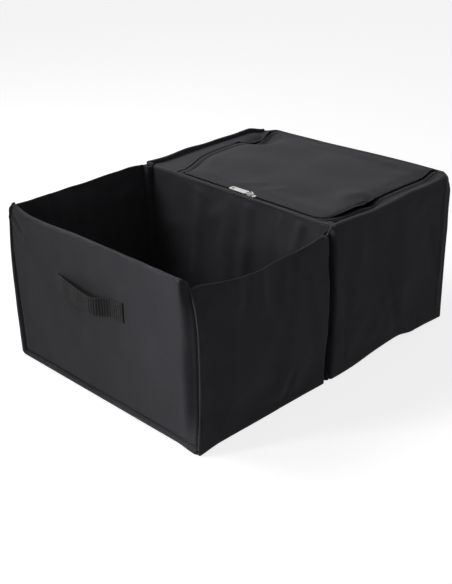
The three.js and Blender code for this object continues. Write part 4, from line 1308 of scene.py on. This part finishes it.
# Inside of the cooler
def make_liner():
    """Welded film tub: upright walls with soft waves, rounded corners, a floor with weld lines."""
    radius = 9 * MM
    x1, y0, y1 = LINER_HIGH.x - 0.3 * MM, LINER_LOW.y + 0.3 * MM, LINER_HIGH.y - 0.3 * MM
    ring = rounded_path([(0, y0, 0), (x1, y0, radius), (x1, y1, radius), (-x1, y1, radius),
                         (-x1, y0, radius), (0, y0, 0)], steps=8)
    line = Line(ring)
    s = np.linspace(0, line.length, 301)[:-1]
    floor = LINER_LOW.z + 0.5 * MM
    heights = np.linspace(LINER_HIGH.z, floor + radius, 32)
    bend = np.linspace(0, math.pi / 2, 7)[1:]
    rows = [(height, 0.0) for height in heights]
    rows += [(floor + radius * (1 - math.sin(b)), radius * (1 - math.cos(b))) for b in bend]
    grid = np.zeros((len(s), len(rows), 3))
    for j, (z, inward) in enumerate(rows):
        plan, normal = line.point(s), line.normal(s, 4 * MM)
        wave = 0.9 * MM * np.abs(ripple(s, z + 0 * s, 171, 40 * MM))
        wave *= smooth_step(LINER_HIGH.z - z, 0, 30 * MM)
        weld = 0.8 * MM * math.exp(-((LINER_HIGH.z - z - 6 * MM) / (1.5 * MM)) ** 2)
        grid[:, j, :2] = plan + normal * (inward + wave + weld)[:, None]
        grid[:, j, 2] = np.minimum(z, under_top(grid[:, j, 0], grid[:, j, 1]) - 0.3 * MM * j)
    floor_rows = []
    for share in np.linspace(0, 1, 18)[1:]:
        spot = grid[:, -1].copy()
        target = np.stack([np.clip(spot[:, 0], -0.07, 0.07), np.full(len(spot), (y0 + y1) / 2)], axis=1)
        spot[:, :2] += (target - spot[:, :2]) * share
        wave = 0.5 * MM * np.abs(ripple(spot[:, 0], spot[:, 1], 172, 50 * MM))
        spot[:, 2] = floor + wave * share * (1 - 0.3 * share)
        floor_rows.append(spot)
    points = np.concatenate([grid, np.stack(floor_rows, axis=1)], axis=1)
    obj = grid_object("cooler_liner_film", points, closed=True)
    weld = obj.modifiers.new("floor_seam", "WELD")
    weld.merge_threshold = 0.05 * MM
    thicken(obj, 0.6 * MM)
    finish_piece(obj, FILM, nodes=["cooler_liner"])


def make_foam():
    """Foam slabs between the shell and the liner."""
    for label in ("base", "left", "right", "near", "back"):
        low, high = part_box(f"foam_{label}")
        thin = min(range(3), key=lambda k: high[k] - low[k])
        a, b = [k for k in range(3) if k != thin]
        top = high[b] if b == 1 else high[b] - 1 * MM
        outline = rectangle(low[a], high[a], low[b], top)
        if label != "base":
            reach = np.linspace(high[a], low[a], 90)
            middle = np.full(90, (low[thin] + high[thin]) / 2)
            level = under_top(middle, reach) if thin == 0 else under_top(reach, middle)
            outline = outline[:2] + list(zip(reach, np.minimum(top, level)))
        obj = slab(f"foam_{label}_pad", outline, low[thin], high[thin], thin, FOAM, "root",
                   f"foam_{label}", step=14 * MM)


def boundary_loops(faces):
    """Corner numbers round each edge of a triangulated sheet, in order."""
    pairs = {(int(f[k]), int(f[(k + 1) % 3])) for f in faces for k in range(3)}
    following = {a: b for a, b in pairs if (b, a) not in pairs}
    loops = []
    while following:
        start = min(following)
        loop = [start]
        while following[loop[-1]] != start:
            loop.append(following[loop[-1]])
        for corner in loop:
            del following[corner]
        loops.append(loop)
    return loops


def make_boards():
    """Stiff boards inside the end panel and the back panel, each with two slits for the webbing."""
    span = (HANDLE_MIDDLE - SLIT_REACH - 1 * MM, HANDLE_MIDDLE + SLIT_REACH + 1 * MM)
    for name, node, centre in (("end_board", "end_panel_board", SLIT_X),
                               ("back_stiffener", "back_board", -SLIT_X)):
        low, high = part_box(node)
        outline = rectangle(low.x + 14 * MM, high.x - RIGHT_FLANGE - 2 * MM,
                            low.z + 14 * MM, high.z - 9 * MM)
        slab(name, outline, low.y + 0.4 * MM, high.y - 0.4 * MM, 1, BOARD, "root", node,
             holes=slit_holes(centre, 3 * MM, [span]), step=12 * MM)


def turned_out(obj):
    """Turns the faces of a closed mesh outward."""
    mesh = obj.data
    mesh.calc_loop_triangles()
    corners = np.array([[tuple(mesh.vertices[k].co) for k in t.vertices] for t in mesh.loop_triangles])
    volume = np.einsum("ij,ij->i", corners[:, 0], np.cross(corners[:, 1], corners[:, 2])).sum()
    if volume < 0:
        mesh.flip_normals()


def make_cooler_base():
    """Fabric under the cooler, its lower left edge a little raised as the wall above it."""
    inner = HALF_WIDTH - 1.5 * MM
    near, far = COOLER_NEAR + 1.5 * MM, FAR_END - 5 * MM
    outline = [(-inner, near + COOLER_ROLL), (-inner + COOLER_ROLL, near), (inner - COOLER_ROLL, near),
               (inner, near + COOLER_ROLL), (inner, far), (-inner, far)]
    flat, faces, _ = cut_cloth(outline, step=7 * MM, rings=(2.0, 5.0))
    x, y = flat.T
    z = 0.9 * MM + (cooler_bottom(y, -1) - 0.6 * MM) * smooth_step(-x, inner - 20 * MM, inner)
    shell_cloth(laid_object("cooler_base_cloth", flat, z, faces), "cooler_base_fabric",
                flat=(2 * inner, far - near), held="stretched", rests_on=["foam_base_pad"])


# Carried-over hard pieces
def dress_hard_nodes():
    """Metal and rounded edges on the slider and the pull, which keep their shape."""
    for name in ("zip_slider", "zip_pull"):
        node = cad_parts[name]
        node.data.materials.clear()
        node.data.materials.append(METAL)
        bevel = node.modifiers.new("rounded_edges", "BEVEL")
        bevel.width = 0.3 * MM
        bevel.segments = 3
        bevel.limit_method = "ANGLE"


# Stage
FLOOR_REACH = 6.0


def white_when_seen(tree):
    """Share that is 1 for what the camera sees, also in reflections, and 0 for light on the box."""
    path = add_node(tree, "ShaderNodeLightPath")
    seen = path.outputs["Is Camera Ray"]
    for ray in ("Is Glossy Ray", "Is Transmission Ray"):
        either = add_node(tree, "ShaderNodeMath", operation="MAXIMUM")
        tree.links.new(seen, either.inputs[0])
        tree.links.new(path.outputs[ray], either.inputs[1])
        seen = either.outputs[0]
    return seen


def mixed_shader(tree, share, first, second):
    mix = add_node(tree, "ShaderNodeMixShader")
    for k, source in enumerate((share, first.outputs[0], second.outputs[0])):
        tree.links.new(source, mix.inputs[k])
    return mix.outputs[0]


def make_floor():
    """White to the camera, grey in the light that it throws back on the box."""
    mesh = bpy.data.meshes.new("studio_floor")
    corners = [(x, y, 0) for x, y in rectangle(-FLOOR_REACH, FLOOR_REACH, -FLOOR_REACH, FLOOR_REACH)]
    mesh.from_pydata(corners, [], [(0, 1, 2, 3)])
    floor = bpy.data.objects.new("studio_floor", mesh)
    bpy.context.scene.collection.objects.link(floor)
    floor.location.z = -0.2 * MM
    material, tree, shader = new_material("white_floor")
    set_inputs(shader, Base_Color=(0.4, 0.4, 0.4, 1), Roughness=0.9, Specular_IOR_Level=0.1)
    glow = add_node(tree, "ShaderNodeEmission", Color=(1, 1, 1, 1), Strength=0.80)
    dark = add_node(tree, "ShaderNodeEmission", Color=(0, 0, 0, 1), Strength=0.0)
    total = add_node(tree, "ShaderNodeAddShader")
    tree.links.new(shader.outputs[0], total.inputs[0])
    tree.links.new(mixed_shader(tree, white_when_seen(tree), dark, glow), total.inputs[1])
    tree.links.new(total.outputs[0], tree.nodes["Material Output"].inputs[0])
    floor.data.materials.append(material)


def make_world():
    """White backdrop to the camera, weak even light on the box."""
    world = bpy.data.worlds.new("studio")
    bpy.context.scene.world = world
    world.use_nodes = True
    tree = world.node_tree
    tree.nodes.clear()
    lighting = add_node(tree, "ShaderNodeBackground", Color=(1, 1, 1, 1), Strength=0.17)
    backdrop = add_node(tree, "ShaderNodeBackground", Color=(1, 1, 1, 1), Strength=1.0)
    out = add_node(tree, "ShaderNodeOutputWorld")
    tree.links.new(mixed_shader(tree, white_when_seen(tree), lighting, backdrop), out.inputs[0])


def add_lamp(name, location, target, size, power, spread=180):
    light = bpy.data.lights.new(name, "AREA")
    light.shape = "SQUARE"
    light.size = size
    light.energy = power
    light.spread = math.radians(spread)
    lamp = bpy.data.objects.new(name, light)
    bpy.context.scene.collection.objects.link(lamp)
    lamp.location = location
    lamp.rotation_mode = "QUATERNION"
    lamp.rotation_quaternion = (Vector(target) - Vector(location)).to_track_quat("-Z", "Y")


def make_lights():
    add_lamp("key_front", (-0.9, -2.1, 0.75), (0.43, -0.3, 0.19), 0.45, 1.15, spread=26)
    add_lamp("top_left", (-0.95, -0.5, 1.5), (0.0, 0.04, 0.27), 0.8, 21.5)


# Camera at the photograph's place
CAMERA_PLACE = (1.1568, -1.1579, 0.8782)
CAMERA_AZIMUTH = 45.58
CAMERA_ELEVATION = 25.90
CAMERA_ROLL = -0.89
CAMERA_LENS = 64.98


def make_camera():
    data = bpy.data.cameras.new("photo_camera")
    camera = bpy.data.objects.new("photo_camera", data)
    bpy.context.scene.collection.objects.link(camera)
    azimuth, elevation, roll = (math.radians(v) for v in (CAMERA_AZIMUTH, CAMERA_ELEVATION, CAMERA_ROLL))
    back = Vector((math.sin(azimuth) * math.cos(elevation), -math.cos(azimuth) * math.cos(elevation),
                   math.sin(elevation)))
    right = (-back).cross(Vector((0, 0, 1))).normalized()
    up = right.cross(-back)
    turned_right = math.cos(roll) * right + math.sin(roll) * up
    turned_up = -math.sin(roll) * right + math.cos(roll) * up
    camera.rotation_mode = "QUATERNION"
    camera.rotation_quaternion = Matrix((turned_right, turned_up, back)).transposed().to_quaternion()
    camera.location = CAMERA_PLACE
    data.lens = CAMERA_LENS
    data.sensor_width = 36
    data.clip_start = 0.01
    data.clip_end = 50
    bpy.context.scene.camera = camera
    bpy.context.scene.view_settings.view_transform = "Standard"


make_camera()
make_world()
make_floor()
make_lights()
make_end_panel()
make_corner_seams()
make_junction_ends()
for wall_label, wall_side in SIDES:
    make_open_wall(wall_label, wall_side)
make_open_base()
for wall_label, wall_side in SIDES:
    make_cooler_wall(wall_label, wall_side)
make_near_panel()
make_back_panel()
make_back_corner_seams()
make_border()
make_lid()
make_lid_underside()
make_zip()
make_top_pipings()
make_hinge_strip()
make_handle("end_handle_webbing", "end_handle", -1, NEAR_END, PANEL_BACK, SLIT_X, 1)
make_handle("back_handle_webbing", "back_handle", 1, FAR_END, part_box("back_board")[0].y, -SLIT_X, -1)
make_liner()
make_foam()
make_boards()
make_cooler_base()
dress_hard_nodes()
